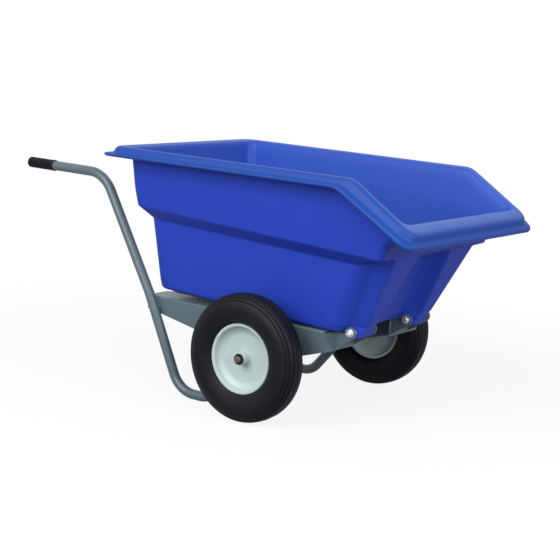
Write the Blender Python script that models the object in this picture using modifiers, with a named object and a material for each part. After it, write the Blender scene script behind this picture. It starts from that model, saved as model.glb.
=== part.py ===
"""Tipping barrow: a moulded tub that tips forward on a two-wheeled tubular steel frame.

Metres. +X points forward, towards the pouring lip, +Y to the barrow's left and +Z up.
The origin lies on the ground, midway between the wheels and straight under the axle.
Right-hand pieces lie at negative Y. Sizes are given for one side and used for both.
"""

import math

import bmesh
import bpy
from mathutils import Euler, Matrix, Vector

GAP = 0.0003              # left between pieces that touch
SIDES = {"right": -1, "left": 1}

# Wheels
WHEEL_RADIUS = 0.200
WHEEL_TRACK = 0.736       # between the middle planes of the wheels
TYRE_WIDTH = 0.089
TYRE_WALL = 0.007
TREAD_RIBS = 5
TREAD_GROOVE_DEPTH = 0.004
TREAD_GROOVE_WIDTH = 0.004
TREAD_SHARE = 0.62        # of the tyre's width
SHOULDER_DROP = 0.0085    # tread's edge below the crown
CROWN_DROP = 0.0035       # outermost rib below the crown
TYRE_BEAD_WIDTH = 0.013
RIM_RADIUS = 0.109        # over the flanges
RIM_SEAT_RADIUS = 0.1015  # where the tyre's beads sit
RIM_WIDTH = 0.059         # over the flanges
RIM_DISH_RADIUS = 0.079   # flat middle of each pressed half
RIM_SHEET = 0.0025
HUB_RADIUS = 0.018
HUB_WALL = 0.0032
HUB_LENGTH = 0.0644
BUSH_FLANGE = 0.0018
BUSH_LENGTH = 0.016

# Axle
AXLE_RADIUS = 0.010
AXLE_BEAM_RADIUS = 0.019
AXLE_SPACER_RADIUS = 0.015
AXLE_WASHER_RADIUS = 0.0165
AXLE_WASHER_THICKNESS = 0.002
AXLE_TIP = 0.0062         # beyond the washer
COTTER_WIRE_RADIUS = 0.0015
COTTER_REACH = 0.006      # beyond the axle's surface

# Side rails, folded from sheet into channels that open downwards
RAIL_SHEET = 0.004
RAIL_TOP = 0.307
RAIL_OUTER = 0.2687       # centre plane to outer web
RAIL_WIDTH = 0.1037
RAIL_REAR = -0.487
RAIL_FRONT = 0.214
RAIL_REAR_DEPTH = 0.045
RAIL_AXLE_DROP = 0.028    # web below the axle's centre
RAIL_FRONT_DEPTH = 0.0665
RAIL_FOLD_RADIUS = 0.006

# Front clevis on each rail
CLEVIS_PLATE = 0.006
CLEVIS_TOP_SETBACK = 0.0065   # end plate's top edge below the rail's top
EAR_OUTER = 0.221         # centre plane to the outer ear's outer face
EAR_INNER = 0.100         # centre plane to the inner ear's inner face
EAR_END_RADIUS = 0.0185

# Tub pivot
PIVOT_X = 0.2775
PIVOT_Z = 0.305
BOLT_RADIUS = 0.006
BOLT_HEAD_ACROSS = 0.019
BOLT_HEAD_HEIGHT = 0.0075
NUT_HEIGHT = 0.0085
BOLT_END = 0.0015         # thread beyond the nut
PIVOT_WASHER_RADIUS = 0.0125
PIVOT_WASHER_THICKNESS = 0.002
SLEEVE_WALL = 0.003
FOOT_RADIUS = 0.022
FOOT_SIDE_CLEARANCE = 0.0015
FOOT_TOP_RISE = 0.026     # pivot to the foot's top, inside the pad
FOOT_INNER_TAPER = 0.026  # in plan, like the pad above it
FOOT_OUTER_TAPER = 0.039

# Handle and leg tube, one plane on each side
TUBE_RADIUS = 0.016
TUBE_WALL = 0.0025
HANDLE_HEIGHT = 0.684
HANDLE_END = -1.029
HANDLE_CORNER_X = -0.689
HANDLE_BEND_RADIUS = 0.112
LEG_KINK_X = -0.470
LEG_KINK_Z = 0.318
LEG_KINK_RADIUS = 0.25
LEG_SLOPE = math.radians(63.9)
STRUT_SLOPE = math.radians(50.3)
FOOT_REAR_BEND_RADIUS = 0.095
FOOT_FRONT_BEND_RADIUS = 0.074
FOOT_LENGTH = 0.1245      # level part, between the corners of its bends
STRUT_END_FROM_AXLE = 0.041
GRIP_LENGTH = 0.113
GRIP_WALL = 0.0018
GRIP_END_WALL = 0.004

# Cross channel between the rails' rear ends, folded like them
CROSS_REAR = -0.478
CROSS_FRONT = -0.305
CROSS_DEPTH = 0.040

# Rest bar across the rails
REST_BAR_X = -0.240
REST_BAR_WIDTH = 0.024
REST_BAR_WALL = 0.0025
REST_BAR_LENGTH = 0.380

# Tub rim: the crest of its rolled bead
TUB_WALL = 0.005
RIM_CREST_Z = 0.789
CREST_REAR = -0.584
CREST_KNEE = 0.332
CREST_LIP_X = 0.541
CREST_LIP_Z = 0.656
CREST_HALF_WIDTH = 0.346
KNEE_REACH = 0.020        # each side of the knee, where the rim's line curves
WALL_TO_CREST = 0.017     # outer wall's top to the crest, square to a side
BEAD_REACH = 0.0165       # crest to the bead's outer side
BEAD_HEIGHT = 0.0225
FLANGE_REACH = 0.040      # crest to flange edge
FLANGE_THICKNESS = 0.0115
RIM_FRONT_WIDENING = 0.026
RIM_REAR_WIDENING = 0.014
WALL_TOP_RADIUS = 0.045
BEAD_CORNER_RADIUS = 0.046
FLANGE_CORNER_RADIUS = 0.036
INNER_CORNER_RADIUS = 0.027

# Tub body
FLOOR_TILT = 0.037        # fall of the floor towards the front, per metre
FLOOR_Z = 0.3156          # floor's outer face above the origin
FLOOR_FILLET = 0.014
LEDGE_LOW_Z = 0.541
LEDGE_LOW_TILT = 0.041
LEDGE_HIGH_Z = 0.577
LEDGE_HIGH_TILT = 0.046
FLARE_Z = 0.625
FLARE_TILT = 0.055
FRONT_SLOPE = 0.483       # run per rise of the front walls
FRONT_PAD_X = 0.3091      # pad face at the height of the tub's floor line
PAD_DEPTH = 0.047         # pads stand this far out from the lower front wall
PAD_CORNER_CLEAR_Z = 0.0285   # above the floor, where the pads clear the clevis ears

# Tub outlines: rear X, half width, radii of the front and rear corners, and the X at which the
# height of the front is taken
FLOOR_OUTLINE = (-0.4665, 0.262, 0.050, 0.050, 0.25)
PAD_CLEAR_OUTLINE = (-0.4702, 0.2645, 0.052, 0.052, 0.25)
LEDGE_LOW_OUTLINE = (-0.505, 0.280, 0.062, 0.062, 0.36)
LEDGE_HIGH_OUTLINE = (-0.5275, 0.315, 0.018, 0.034, 0.43)
FLARE_OUTLINE = (-0.540, 0.320, 0.028, 0.035, 0.45)

# Pad lines: Y of a pad's inner foot, inner edge and outer edge
PAD_LINES_LOW = (0.108, 0.1326, 0.181)
PAD_LINES_MIDDLE = (0.104, 0.128, 0.188)
PAD_LINES_TOP = (0.080, 0.0999, 0.2300)
PAD_LINES_LEDGE = (0.074, 0.094, 0.2370)

FRAME_COLOUR = (0.127, 0.178, 0.191, 1.0)
TUB_COLOUR = (0.028, 0.066, 0.420, 1.0)
RIM_COLOUR = (0.510, 0.610, 0.560, 1.0)
TYRE_COLOUR = (0.012, 0.012, 0.013, 1.0)
GRIP_COLOUR = (0.015, 0.016, 0.021, 1.0)
ZINC_COLOUR = (0.560, 0.580, 0.600, 1.0)
AXLE_COLOUR = (0.110, 0.080, 0.060, 1.0)
BUSH_COLOUR = (0.020, 0.020, 0.020, 1.0)

WHEEL_SEGMENTS = 32
SMALL_SEGMENTS = 20
TUBE_RESOLUTION = 4
AXLE_Z = WHEEL_RADIUS
WHEEL_Y = WHEEL_TRACK / 2
PIVOT = Vector((PIVOT_X, 0.0, PIVOT_Z))

for leftover in list(bpy.data.objects):
    bpy.data.objects.remove(leftover, do_unlink=True)

parts = bpy.data.collections.new("tipping_barrow")
cutters = bpy.data.collections.new("tipping_barrow_cutters")
for collection in (parts, cutters):
    bpy.context.scene.collection.children.link(collection)


def make_material(name, colour, roughness, metallic):
    material = bpy.data.materials.new(name)
    material.use_nodes = True
    shader = material.node_tree.nodes["Principled BSDF"]
    shader.inputs["Base Color"].default_value = colour
    shader.inputs["Roughness"].default_value = roughness
    shader.inputs["Metallic"].default_value = metallic
    material.diffuse_color = colour
    return material


FRAME_PAINT = ("frame_paint", FRAME_COLOUR, 0.45, 0.0)
TUB_PLASTIC = ("tub_plastic", TUB_COLOUR, 0.40, 0.0)
RIM_PAINT = ("rim_paint", RIM_COLOUR, 0.35, 0.0)
TYRE_RUBBER = ("tyre_rubber", TYRE_COLOUR, 0.75, 0.0)
GRIP_PLASTIC = ("grip_plastic", GRIP_COLOUR, 0.55, 0.0)
ZINC = ("zinc", ZINC_COLOUR, 0.30, 1.0)
AXLE_STEEL = ("axle_steel", AXLE_COLOUR, 0.45, 1.0)
BUSH_NYLON = ("bush_nylon", BUSH_COLOUR, 0.50, 0.0)


def dress(thing, look, smooth_angle=35.0):
    """Give a sub-part its own material and smooth its round faces."""
    name, colour, roughness, metallic = look
    thing.data.materials.clear()
    thing.data.materials.append(make_material(thing.name + "_" + name, colour, roughness, metallic))
    if thing.type == "MESH" and smooth_angle:
        thing.data.shade_smooth()
        thing.data.set_sharp_from_angle(angle=math.radians(smooth_angle))
    return thing


def hide(thing):
    """Make a cutter or a joining shape of an object."""
    for collection in thing.users_collection:
        collection.objects.unlink(thing)
    cutters.objects.link(thing)
    thing.hide_render = True
    thing.display_type = "WIRE"
    return thing


def combine(thing, other, operation):
    """Boolean of two mesh objects, kept as a modifier."""
    modifier = thing.modifiers.new(operation.lower() + "_" + other.name, "BOOLEAN")
    modifier.operation = operation
    modifier.object = hide(other)
    modifier.solver = "EXACT"


def from_bmesh(name, mesh_data):
    mesh = bpy.data.meshes.new(name)
    mesh_data.to_mesh(mesh)
    mesh_data.free()
    thing = bpy.data.objects.new(name, mesh)
    parts.objects.link(thing)
    return thing


def box(name, low, high):
    """Cube between two corners."""
    low, high = Vector(low), Vector(high)
    shape = bmesh.new()
    bmesh.ops.create_cube(shape, size=1.0)
    bmesh.ops.scale(shape, vec=high - low, verts=shape.verts)
    bmesh.ops.translate(shape, vec=(low + high) / 2, verts=shape.verts)
    return from_bmesh(name, shape)


def cylinder_along_y(name, radius, start, end, x, z, segments=SMALL_SEGMENTS):
    """Round bar between two values of Y."""
    shape = bmesh.new()
    bmesh.ops.create_cone(shape, cap_ends=True, segments=segments, radius1=radius, radius2=radius,
                          depth=abs(end - start))
    bmesh.ops.rotate(shape, matrix=Matrix.Rotation(math.radians(-90), 3, "X"), verts=shape.verts)
    bmesh.ops.translate(shape, vec=(x, (start + end) / 2, z), verts=shape.verts)
    return from_bmesh(name, shape)


def turned(name, profile, location, side=1, segments=SMALL_SEGMENTS):
    """Ring turned about a line parallel to Y.

    The profile is closed and holds (radius, distance along the axis), run down its outer side
    from the far end to the near one. Side 1 sends the axis to +Y and side -1 to -Y.
    """
    mesh = bpy.data.meshes.new(name)
    points = [(radius, 0.0, along) for radius, along in profile]
    edges = [(i, (i + 1) % len(points)) for i in range(len(points))]
    mesh.from_pydata(points, edges, [])
    thing = bpy.data.objects.new(name, mesh)
    parts.objects.link(thing)
    thing.location = location
    thing.rotation_euler = Euler((math.radians(-90.0 * side), 0.0, 0.0))
    screw = thing.modifiers.new("turn", "SCREW")
    screw.steps = segments
    screw.render_steps = segments
    screw.use_merge_vertices = True
    screw.merge_threshold = 0.00005
    screw.use_smooth_shade = True
    return thing


def ring_profile(inner, outer, start, end):
    """Plain sleeve or washer."""
    return [(outer, end), (outer, start), (inner, start), (inner, end)]


def plate(name, outline, thickness, y, holes=()):
    """Flat plate in an X-Z plane, centred on Y, from an outline and round holes, as a mesh."""
    curve = bpy.data.curves.new(name, "CURVE")
    curve.dimensions = "2D"
    curve.fill_mode = "BOTH"
    curve.extrude = thickness / 2
    loops = [outline]
    for centre_x, centre_z, radius in holes:
        loops.append(arc_points(centre_x, centre_z, radius, 0.0, 360.0, SMALL_SEGMENTS)[:-1])
    for loop in loops:
        spline = curve.splines.new("POLY")
        spline.points.add(len(loop) - 1)
        for point, (x, z) in zip(spline.points, loop):
            point.co = (x, z, 0.0, 1.0)
        spline.use_cyclic_u = True
    guide = bpy.data.objects.new(name + "_outline", curve)
    parts.objects.link(guide)
    guide.rotation_euler = Euler((math.radians(90.0), 0.0, 0.0))
    guide.location = (0.0, y, 0.0)
    return curve_to_mesh(name, guide)


def curve_to_mesh(name, guide):
    """Mesh object in world space from a curve object, which is removed."""
    bpy.context.view_layer.update()
    evaluated = guide.evaluated_get(bpy.context.evaluated_depsgraph_get())
    mesh = bpy.data.meshes.new_from_object(evaluated)
    mesh.transform(guide.matrix_world)
    data = guide.data
    bpy.data.objects.remove(guide)
    bpy.data.curves.remove(data)
    shape = bmesh.new()
    shape.from_mesh(mesh)
    bpy.data.meshes.remove(mesh)
    bmesh.ops.remove_doubles(shape, verts=shape.verts, dist=0.00002)
    bmesh.ops.recalc_face_normals(shape, faces=shape.faces)
    return from_bmesh(name, shape)


def arc_points(centre_x, centre_z, radius, start, end, steps):
    """Points along an arc, its angles in degrees from +X towards +Z."""
    points = []
    for i in range(steps + 1):
        angle = math.radians(start + (end - start) * i / steps)
        points.append((centre_x + radius * math.cos(angle), centre_z + radius * math.sin(angle)))
    return points


def tube_path(corners, radii, step=math.radians(9.0)):
    """Centre line in the X-Z plane with each inner corner rounded to its radius."""
    path = [Vector(corners[0])]
    for before, corner, after, radius in zip(corners, corners[1:], corners[2:], radii):
        corner = Vector(corner)
        back = (Vector(before) - corner).normalized()
        ahead = (Vector(after) - corner).normalized()
        turn = math.pi - back.angle(ahead)
        tangent = radius * math.tan(turn / 2)
        centre = corner + (back + ahead).normalized() * radius / math.cos(turn / 2)
        first = corner + back * tangent - centre
        steps = max(2, math.ceil(turn / step))
        sense = 1.0 if back.cross(ahead) < 0 else -1.0
        for i in range(steps + 1):
            path.append(centre + Matrix.Rotation(sense * turn * i / steps, 2) @ first)
    path.append(Vector(corners[-1]))
    return path


def tube(name, path, radius, y, resolution=TUBE_RESOLUTION):
    """Round bar along a path in an X-Z plane."""
    curve = bpy.data.curves.new(name, "CURVE")
    curve.dimensions = "3D"
    curve.bevel_depth = radius
    curve.bevel_resolution = resolution
    curve.use_fill_caps = True
    spline = curve.splines.new("POLY")
    spline.points.add(len(path) - 1)
    for point, (x, z) in zip(spline.points, path):
        point.co = (x, 0.0, z, 1.0)
    guide = bpy.data.objects.new(name + "_path", curve)
    parts.objects.link(guide)
    guide.location = (0.0, y, 0.0)
    return curve_to_mesh(name, guide)


def empty(name, location):
    """Joint marker that carries what moves on it."""
    marker = bpy.data.objects.new(name, None)
    marker.location = location
    marker.empty_display_size = 0.05
    parts.objects.link(marker)
    return marker


def carry(marker, thing):
    """Parent a piece to its joint marker, with its origin on the joint's axis."""
    bpy.context.view_layer.update()
    if thing.location.length < 1e-9 and not thing.rotation_euler.x:
        thing.data.transform(Matrix.Translation(-marker.location))
    else:
        thing.location = thing.location - marker.location
    thing.parent = marker


# Wheels

def tyre_profile():
    """C-shaped section: ribbed tread, round sidewalls and two beads, open towards the rim."""
    half = TYRE_WIDTH / 2
    bead_out = RIM_WIDTH / 2 - RIM_SHEET - GAP
    bead_in = bead_out - TYRE_BEAD_WIDTH
    seat = RIM_SEAT_RADIUS + GAP
    shoulder = WHEEL_RADIUS - SHOULDER_DROP
    tread_half = half * TREAD_SHARE
    grooves = TREAD_RIBS - 1
    pitch = 2 * tread_half / TREAD_RIBS
    tread = [(shoulder, tread_half + 0.003)]
    for i in range(grooves):
        middle = tread_half - pitch * (i + 1)
        crown = WHEEL_RADIUS - CROWN_DROP * (middle / tread_half) ** 2
        tread.append((crown, middle + TREAD_GROOVE_WIDTH / 2))
        tread.append((crown - TREAD_GROOVE_DEPTH, middle))
        tread.append((crown, middle - TREAD_GROOVE_WIDTH / 2))
        if i == grooves // 2 - 1:
            tread.append((WHEEL_RADIUS, 0.0))
    tread.append((shoulder, -tread_half - 0.003))
    middle_radius = RIM_RADIUS + (shoulder - RIM_RADIUS) * 0.58
    side = [(shoulder - 0.0065, half * 0.78), (middle_radius + 0.015, half * 0.95), (middle_radius, half),
            (middle_radius - 0.022, half * 0.93), (RIM_RADIUS + 0.005, half * 0.74),
            (RIM_RADIUS + 0.0012, bead_out), (seat, bead_out), (seat, bead_in)]
    lining = [(RIM_RADIUS + 0.006, half * 0.72 - TYRE_WALL), (middle_radius, half - TYRE_WALL),
              (shoulder - TYRE_WALL, tread_half * 0.75)]
    profile = tread + [(r, -w) for r, w in side] + [(r, -w) for r, w in lining]
    profile += [(r, w) for r, w in reversed(lining)] + [(r, w) for r, w in reversed(side)]
    return profile


def rim_half_profile():
    """Pressed dish half: flange, bead seat, sloping wall and the flat middle on the wheel's plane."""
    edge = RIM_WIDTH / 2
    hole = HUB_RADIUS + GAP
    inner_seat = RIM_SEAT_RADIUS - RIM_SHEET
    flange_back = edge - RIM_SHEET
    back = GAP / 2
    face = back + RIM_SHEET
    return [(RIM_RADIUS, edge), (RIM_RADIUS, flange_back), (RIM_SEAT_RADIUS, flange_back),
            (RIM_SEAT_RADIUS, 0.0105), (RIM_DISH_RADIUS + 0.0015, back), (hole, back),
            (hole, face), (RIM_DISH_RADIUS, face), (inner_seat, 0.0130),
            (inner_seat, edge - 0.0030), (inner_seat + 0.0030, edge)]


def make_wheel(side_name, side):
    centre = Vector((0.0, side * WHEEL_Y, AXLE_Z))
    axle_marker = empty("wheel_" + side_name + "_axis", centre)
    pieces = []
    tyre = turned("tyre_" + side_name, tyre_profile(), centre, side, WHEEL_SEGMENTS)
    pieces.append(dress(tyre, TYRE_RUBBER, 0))
    for place, facing in (("outer", side), ("inner", -side)):
        half = turned("rim_" + place + "_" + side_name, rim_half_profile(), centre, facing,
                      WHEEL_SEGMENTS)
        pieces.append(dress(half, RIM_PAINT, 0))
    bore = HUB_RADIUS - HUB_WALL
    hub = turned("hub_" + side_name,
                 ring_profile(bore, HUB_RADIUS, -HUB_LENGTH / 2, HUB_LENGTH / 2), centre, side)
    pieces.append(dress(hub, RIM_PAINT, 0))
    flange_start = HUB_LENGTH / 2 + GAP
    flange_end = flange_start + BUSH_FLANGE
    bush_profile = [(HUB_RADIUS - 0.0005, flange_end), (HUB_RADIUS - 0.0005, flange_start),
                    (bore - GAP, flange_start), (bore - GAP, flange_start - BUSH_LENGTH),
                    (AXLE_RADIUS + GAP, flange_start - BUSH_LENGTH), (AXLE_RADIUS + GAP, flange_end)]
    for place, facing in (("outer", side), ("inner", -side)):
        bush = turned("bush_" + place + "_" + side_name, bush_profile, centre, facing)
        pieces.append(dress(bush, BUSH_NYLON, 0))
    for piece in pieces:
        carry(axle_marker, piece)


# Axle and what is threaded on it

HUB_STACK = HUB_LENGTH / 2 + GAP + BUSH_FLANGE      # middle plane of a wheel to a bush's face
SPACER_END = WHEEL_Y - HUB_STACK - GAP
WASHER_START = WHEEL_Y + HUB_STACK + GAP
WASHER_END = WASHER_START + AXLE_WASHER_THICKNESS
AXLE_END = WASHER_END + AXLE_TIP
COTTER_Y = WASHER_END + GAP + COTTER_WIRE_RADIUS


def make_axle():
    axle = cylinder_along_y("axle", AXLE_RADIUS, -AXLE_END, AXLE_END, 0.0, AXLE_Z, 24)
    for side_name, side in SIDES.items():
        hole = cylinder_along_y("cotter_hole_" + side_name, COTTER_WIRE_RADIUS + GAP,
                                -0.02, 0.02, 0.0, 0.0, 12)
        hole.data.transform(Matrix.Rotation(math.radians(90), 4, "X"))
        hole.location = (0.0, side * COTTER_Y, AXLE_Z)
        combine(axle, hole, "DIFFERENCE")
        spacer = turned("axle_spacer_" + side_name,
                        ring_profile(AXLE_RADIUS + GAP, AXLE_SPACER_RADIUS, RAIL_OUTER + GAP, SPACER_END),
                        (0.0, 0.0, AXLE_Z), side)
        dress(spacer, AXLE_STEEL, 0)
        washer = turned("axle_washer_" + side_name,
                        ring_profile(AXLE_RADIUS + GAP, AXLE_WASHER_RADIUS, WASHER_START, WASHER_END),
                        (0.0, 0.0, AXLE_Z), side)
        dress(washer, AXLE_STEEL, 0)
        leg = AXLE_RADIUS + COTTER_REACH
        pin_path = tube_path([(-0.007, -leg), (0.0, -leg + 0.002), (0.0, leg), (0.006, leg + 0.005)],
                             [0.003, 0.003])
        pin = tube("cotter_pin_" + side_name, [(x, AXLE_Z + z) for x, z in pin_path],
                   COTTER_WIRE_RADIUS, side * COTTER_Y, 1)
        dress(pin, ZINC)
    dress(axle, AXLE_STEEL)
    beam_half = RAIL_OUTER - RAIL_WIDTH - GAP
    beam = turned("axle_beam",
                  ring_profile(AXLE_RADIUS + GAP, AXLE_BEAM_RADIUS, -beam_half, beam_half),
                  (0.0, 0.0, AXLE_Z))
    dress(beam, FRAME_PAINT, 0)


# Rails

def rail_outline(inset=0.0, reach=0.0):
    """Side view of a rail, deepest under the axle; the cutter is inset at the top and longer."""
    top = RAIL_TOP - inset
    rear, front = RAIL_REAR - reach, RAIL_FRONT + reach
    return [(rear, top), (rear, RAIL_TOP - RAIL_REAR_DEPTH - reach),
            (0.0, AXLE_Z - RAIL_AXLE_DROP - reach), (front, RAIL_TOP - RAIL_FRONT_DEPTH - reach),
            (front, top)]


def make_rail(side_name, side):
    middle = side * (RAIL_OUTER - RAIL_WIDTH / 2)
    rail = plate("rail_" + side_name, rail_outline(), RAIL_WIDTH, middle)
    shape = bmesh.new()
    shape.from_mesh(rail.data)
    folds = [edge for edge in shape.edges
             if all(abs(v.co.z - RAIL_TOP) < 1e-5 for v in edge.verts)
             and abs(edge.verts[0].co.y - edge.verts[1].co.y) < 1e-5
             and len(edge.link_faces) == 2]
    folds = [edge for edge in folds if abs(abs(edge.verts[0].co.y - middle) - RAIL_WIDTH / 2) < 1e-5]
    bmesh.ops.bevel(shape, geom=folds, offset=RAIL_FOLD_RADIUS, segments=3, profile=0.5,
                    affect="EDGES", clamp_overlap=True)
    shape.to_mesh(rail.data)
    shape.free()
    hollow = plate("rail_hollow_" + side_name, rail_outline(RAIL_SHEET, 0.05),
                   RAIL_WIDTH - 2 * RAIL_SHEET, middle)
    combine(rail, hollow, "DIFFERENCE")
    bore = cylinder_along_y("rail_bore_" + side_name, AXLE_RADIUS + GAP, middle - RAIL_WIDTH,
                            middle + RAIL_WIDTH, 0.0, AXLE_Z)
    combine(rail, bore, "DIFFERENCE")
    dress(rail, FRAME_PAINT)


# Clevises

CLEVIS_REAR = RAIL_FRONT + GAP
CLEVIS_TOP = RAIL_TOP - CLEVIS_TOP_SETBACK
CLEVIS_BOTTOM = RAIL_TOP - RAIL_FRONT_DEPTH


def ear_outline():
    """Ear in side view: flat top, round end about the pivot, lower edge rising to the round end."""
    rise = math.degrees(math.asin((CLEVIS_TOP - PIVOT_Z) / EAR_END_RADIUS))
    low_corner = Vector((CLEVIS_REAR, CLEVIS_BOTTOM))
    to_pivot = Vector((PIVOT_X, PIVOT_Z)) - low_corner
    lean = math.degrees(math.atan2(to_pivot.y, to_pivot.x))
    opening = math.degrees(math.asin(EAR_END_RADIUS / to_pivot.length))
    tangent = lean - opening - 90.0
    outline = arc_points(PIVOT_X, PIVOT_Z, EAR_END_RADIUS, 180.0 - rise, tangent, 16)
    return [(CLEVIS_REAR, CLEVIS_TOP)] + outline + [tuple(low_corner)]


def make_clevis(side_name, side):
    hole = (PIVOT_X, PIVOT_Z, BOLT_RADIUS + GAP)
    outer_y = side * (EAR_OUTER - CLEVIS_PLATE / 2)
    inner_y = side * (EAR_INNER + CLEVIS_PLATE / 2)
    clevis = plate("clevis_" + side_name, ear_outline(), CLEVIS_PLATE, outer_y, [hole])
    inner_ear = plate("inner_ear_" + side_name, ear_outline(), CLEVIS_PLATE, inner_y, [hole])
    near, far = sorted((side * EAR_INNER, side * RAIL_OUTER))
    overlap = 0.0002
    end_plate = box("clevis_end_plate_" + side_name,
                    (CLEVIS_REAR, near, CLEVIS_BOTTOM - overlap),
                    (CLEVIS_REAR + CLEVIS_PLATE, far, CLEVIS_TOP + overlap))
    combine(clevis, end_plate, "UNION")
    combine(clevis, inner_ear, "UNION")
    dress(clevis, FRAME_PAINT)


# Pivot fasteners

def hex_prism(name, across, start, end, bore=0.0):
    """Hexagonal head or nut round the pivot's axis."""
    shape = cylinder_along_y(name, across / math.sqrt(3.0), start, end, PIVOT_X, PIVOT_Z, 6)
    if bore:
        hole = cylinder_along_y(name + "_bore", bore, start - 0.01 * math.copysign(1, end - start),
                                end + 0.01 * math.copysign(1, end - start), PIVOT_X, PIVOT_Z)
        combine(shape, hole, "DIFFERENCE")
    return shape


def make_pivot_hardware(side_name, side):
    washer_out = side * (EAR_OUTER + GAP)
    nut_start = washer_out + side * (PIVOT_WASHER_THICKNESS + GAP)
    nut_end = nut_start + side * NUT_HEIGHT
    thread_end = nut_end + side * BOLT_END
    washer_in = side * (EAR_INNER - GAP)
    head_start = washer_in - side * (PIVOT_WASHER_THICKNESS + GAP)
    head_end = head_start - side * BOLT_HEAD_HEIGHT
    shank = cylinder_along_y("bolt_shank_" + side_name, BOLT_RADIUS, head_end + side * 0.003,
                             thread_end, PIVOT_X, PIVOT_Z)
    bolt = hex_prism("pivot_bolt_" + side_name, BOLT_HEAD_ACROSS, head_end, head_start)
    combine(bolt, shank, "UNION")
    dress(bolt, ZINC)
    nut = hex_prism("pivot_nut_" + side_name, BOLT_HEAD_ACROSS, nut_start, nut_end, BOLT_RADIUS + GAP)
    dress(nut, ZINC)
    for place, start, direction in (("outer", washer_out, side), ("inner", washer_in, -side)):
        washer = turned("pivot_washer_" + place + "_" + side_name,
                        ring_profile(BOLT_RADIUS + GAP, PIVOT_WASHER_RADIUS, 0.0, PIVOT_WASHER_THICKNESS),
                        (PIVOT_X, start, PIVOT_Z), direction)
        dress(washer, ZINC, 0)


# Handle tubes and grips

TUBE_Y = RAIL_OUTER + GAP + TUBE_RADIUS


def handle_corners():
    """Corners of the tube's centre line, from the grip down to the level foot and up to the axle."""
    drop = LEG_KINK_Z - TUBE_RADIUS
    foot_rear = LEG_KINK_X + drop / math.tan(LEG_SLOPE)
    foot_front = foot_rear + FOOT_LENGTH
    rise = AXLE_Z - TUBE_RADIUS
    end_x = foot_front + rise / math.tan(STRUT_SLOPE)
    end_x = min(end_x, -STRUT_END_FROM_AXLE)
    end_z = TUBE_RADIUS + (end_x - foot_front) * math.tan(STRUT_SLOPE)
    return [(HANDLE_END, HANDLE_HEIGHT), (HANDLE_CORNER_X, HANDLE_HEIGHT), (LEG_KINK_X, LEG_KINK_Z),
            (foot_rear, TUBE_RADIUS), (foot_front, TUBE_RADIUS), (end_x, end_z)]


def make_handle(side_name, side):
    y = side * TUBE_Y
    path = tube_path(handle_corners(), [HANDLE_BEND_RADIUS, LEG_KINK_RADIUS, FOOT_REAR_BEND_RADIUS,
                                        FOOT_FRONT_BEND_RADIUS])
    handle = tube("handle_tube_" + side_name, path, TUBE_RADIUS, y)
    overrun = 2 * TUBE_RADIUS
    bore_path = ([path[0] + (path[0] - path[1]).normalized() * overrun] + path[1:-1]
                 + [path[-1] + (path[-1] - path[-2]).normalized() * overrun])
    combine(handle, tube("tube_bore_" + side_name, bore_path, TUBE_RADIUS - TUBE_WALL, y),
            "DIFFERENCE")
    dress(handle, FRAME_PAINT)
    inner = TUBE_RADIUS + GAP
    outer = inner + GRIP_WALL
    mouth = GRIP_LENGTH
    end = -GAP - GRIP_END_WALL
    grip_mesh = [(inner, mouth), (inner, -GAP), (0.0, -GAP), (0.0, end), (outer - 0.004, end),
                 (outer - 0.001, end + 0.0015), (outer, end + 0.004), (outer, mouth - 0.004),
                 (outer + 0.001, mouth - 0.003), (outer + 0.001, mouth)]
    grip = turned_open("grip_" + side_name, grip_mesh, 24)
    grip.data.transform(Matrix.Rotation(math.radians(90.0), 4, "Y"))
    grip.location = (HANDLE_END, y, HANDLE_HEIGHT)
    dress(grip, GRIP_PLASTIC)


def turned_open(name, profile, segments):
    """Solid of revolution about Z whose profile starts and ends on itself and may touch the axis."""
    shape = bmesh.new()
    verts = [shape.verts.new((radius, 0.0, along)) for radius, along in profile]
    edges = [shape.edges.new((verts[i], verts[(i + 1) % len(verts)])) for i in range(len(verts))]
    bmesh.ops.spin(shape, geom=verts + edges, cent=(0, 0, 0), axis=(0, 0, 1), dvec=(0, 0, 0),
                   angle=math.radians(360.0), steps=segments, use_merge=True, use_duplicate=False)
    bmesh.ops.remove_doubles(shape, verts=shape.verts, dist=0.00005)
    bmesh.ops.dissolve_degenerate(shape, edges=shape.edges, dist=0.00002)
    bmesh.ops.recalc_face_normals(shape, faces=shape.faces)
    return from_bmesh(name, shape)


# Cross channel and rest bar

def make_cross_channel():
    """Channel that opens downwards, its top flush with the rails' tops."""
    low = RAIL_TOP - CROSS_DEPTH
    fold = RAIL_FOLD_RADIUS
    rear_fold = arc_points(CROSS_REAR + fold, RAIL_TOP - fold, fold, 180.0, 90.0, 3)
    front_fold = arc_points(CROSS_FRONT - fold, RAIL_TOP - fold, fold, 90.0, 0.0, 3)
    inner_rear, inner_front = CROSS_REAR + RAIL_SHEET, CROSS_FRONT - RAIL_SHEET
    inner_top = RAIL_TOP - RAIL_SHEET
    outline = ([(CROSS_REAR, low)] + rear_fold + front_fold
               + [(CROSS_FRONT, low), (inner_front, low), (inner_front, inner_top),
                  (inner_rear, inner_top), (inner_rear, low)])
    half = RAIL_OUTER - RAIL_WIDTH - GAP
    dress(plate("cross_channel", outline, 2 * half, 0.0), FRAME_PAINT)


def floor_height(x):
    return FLOOR_Z - FLOOR_TILT * x


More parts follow.
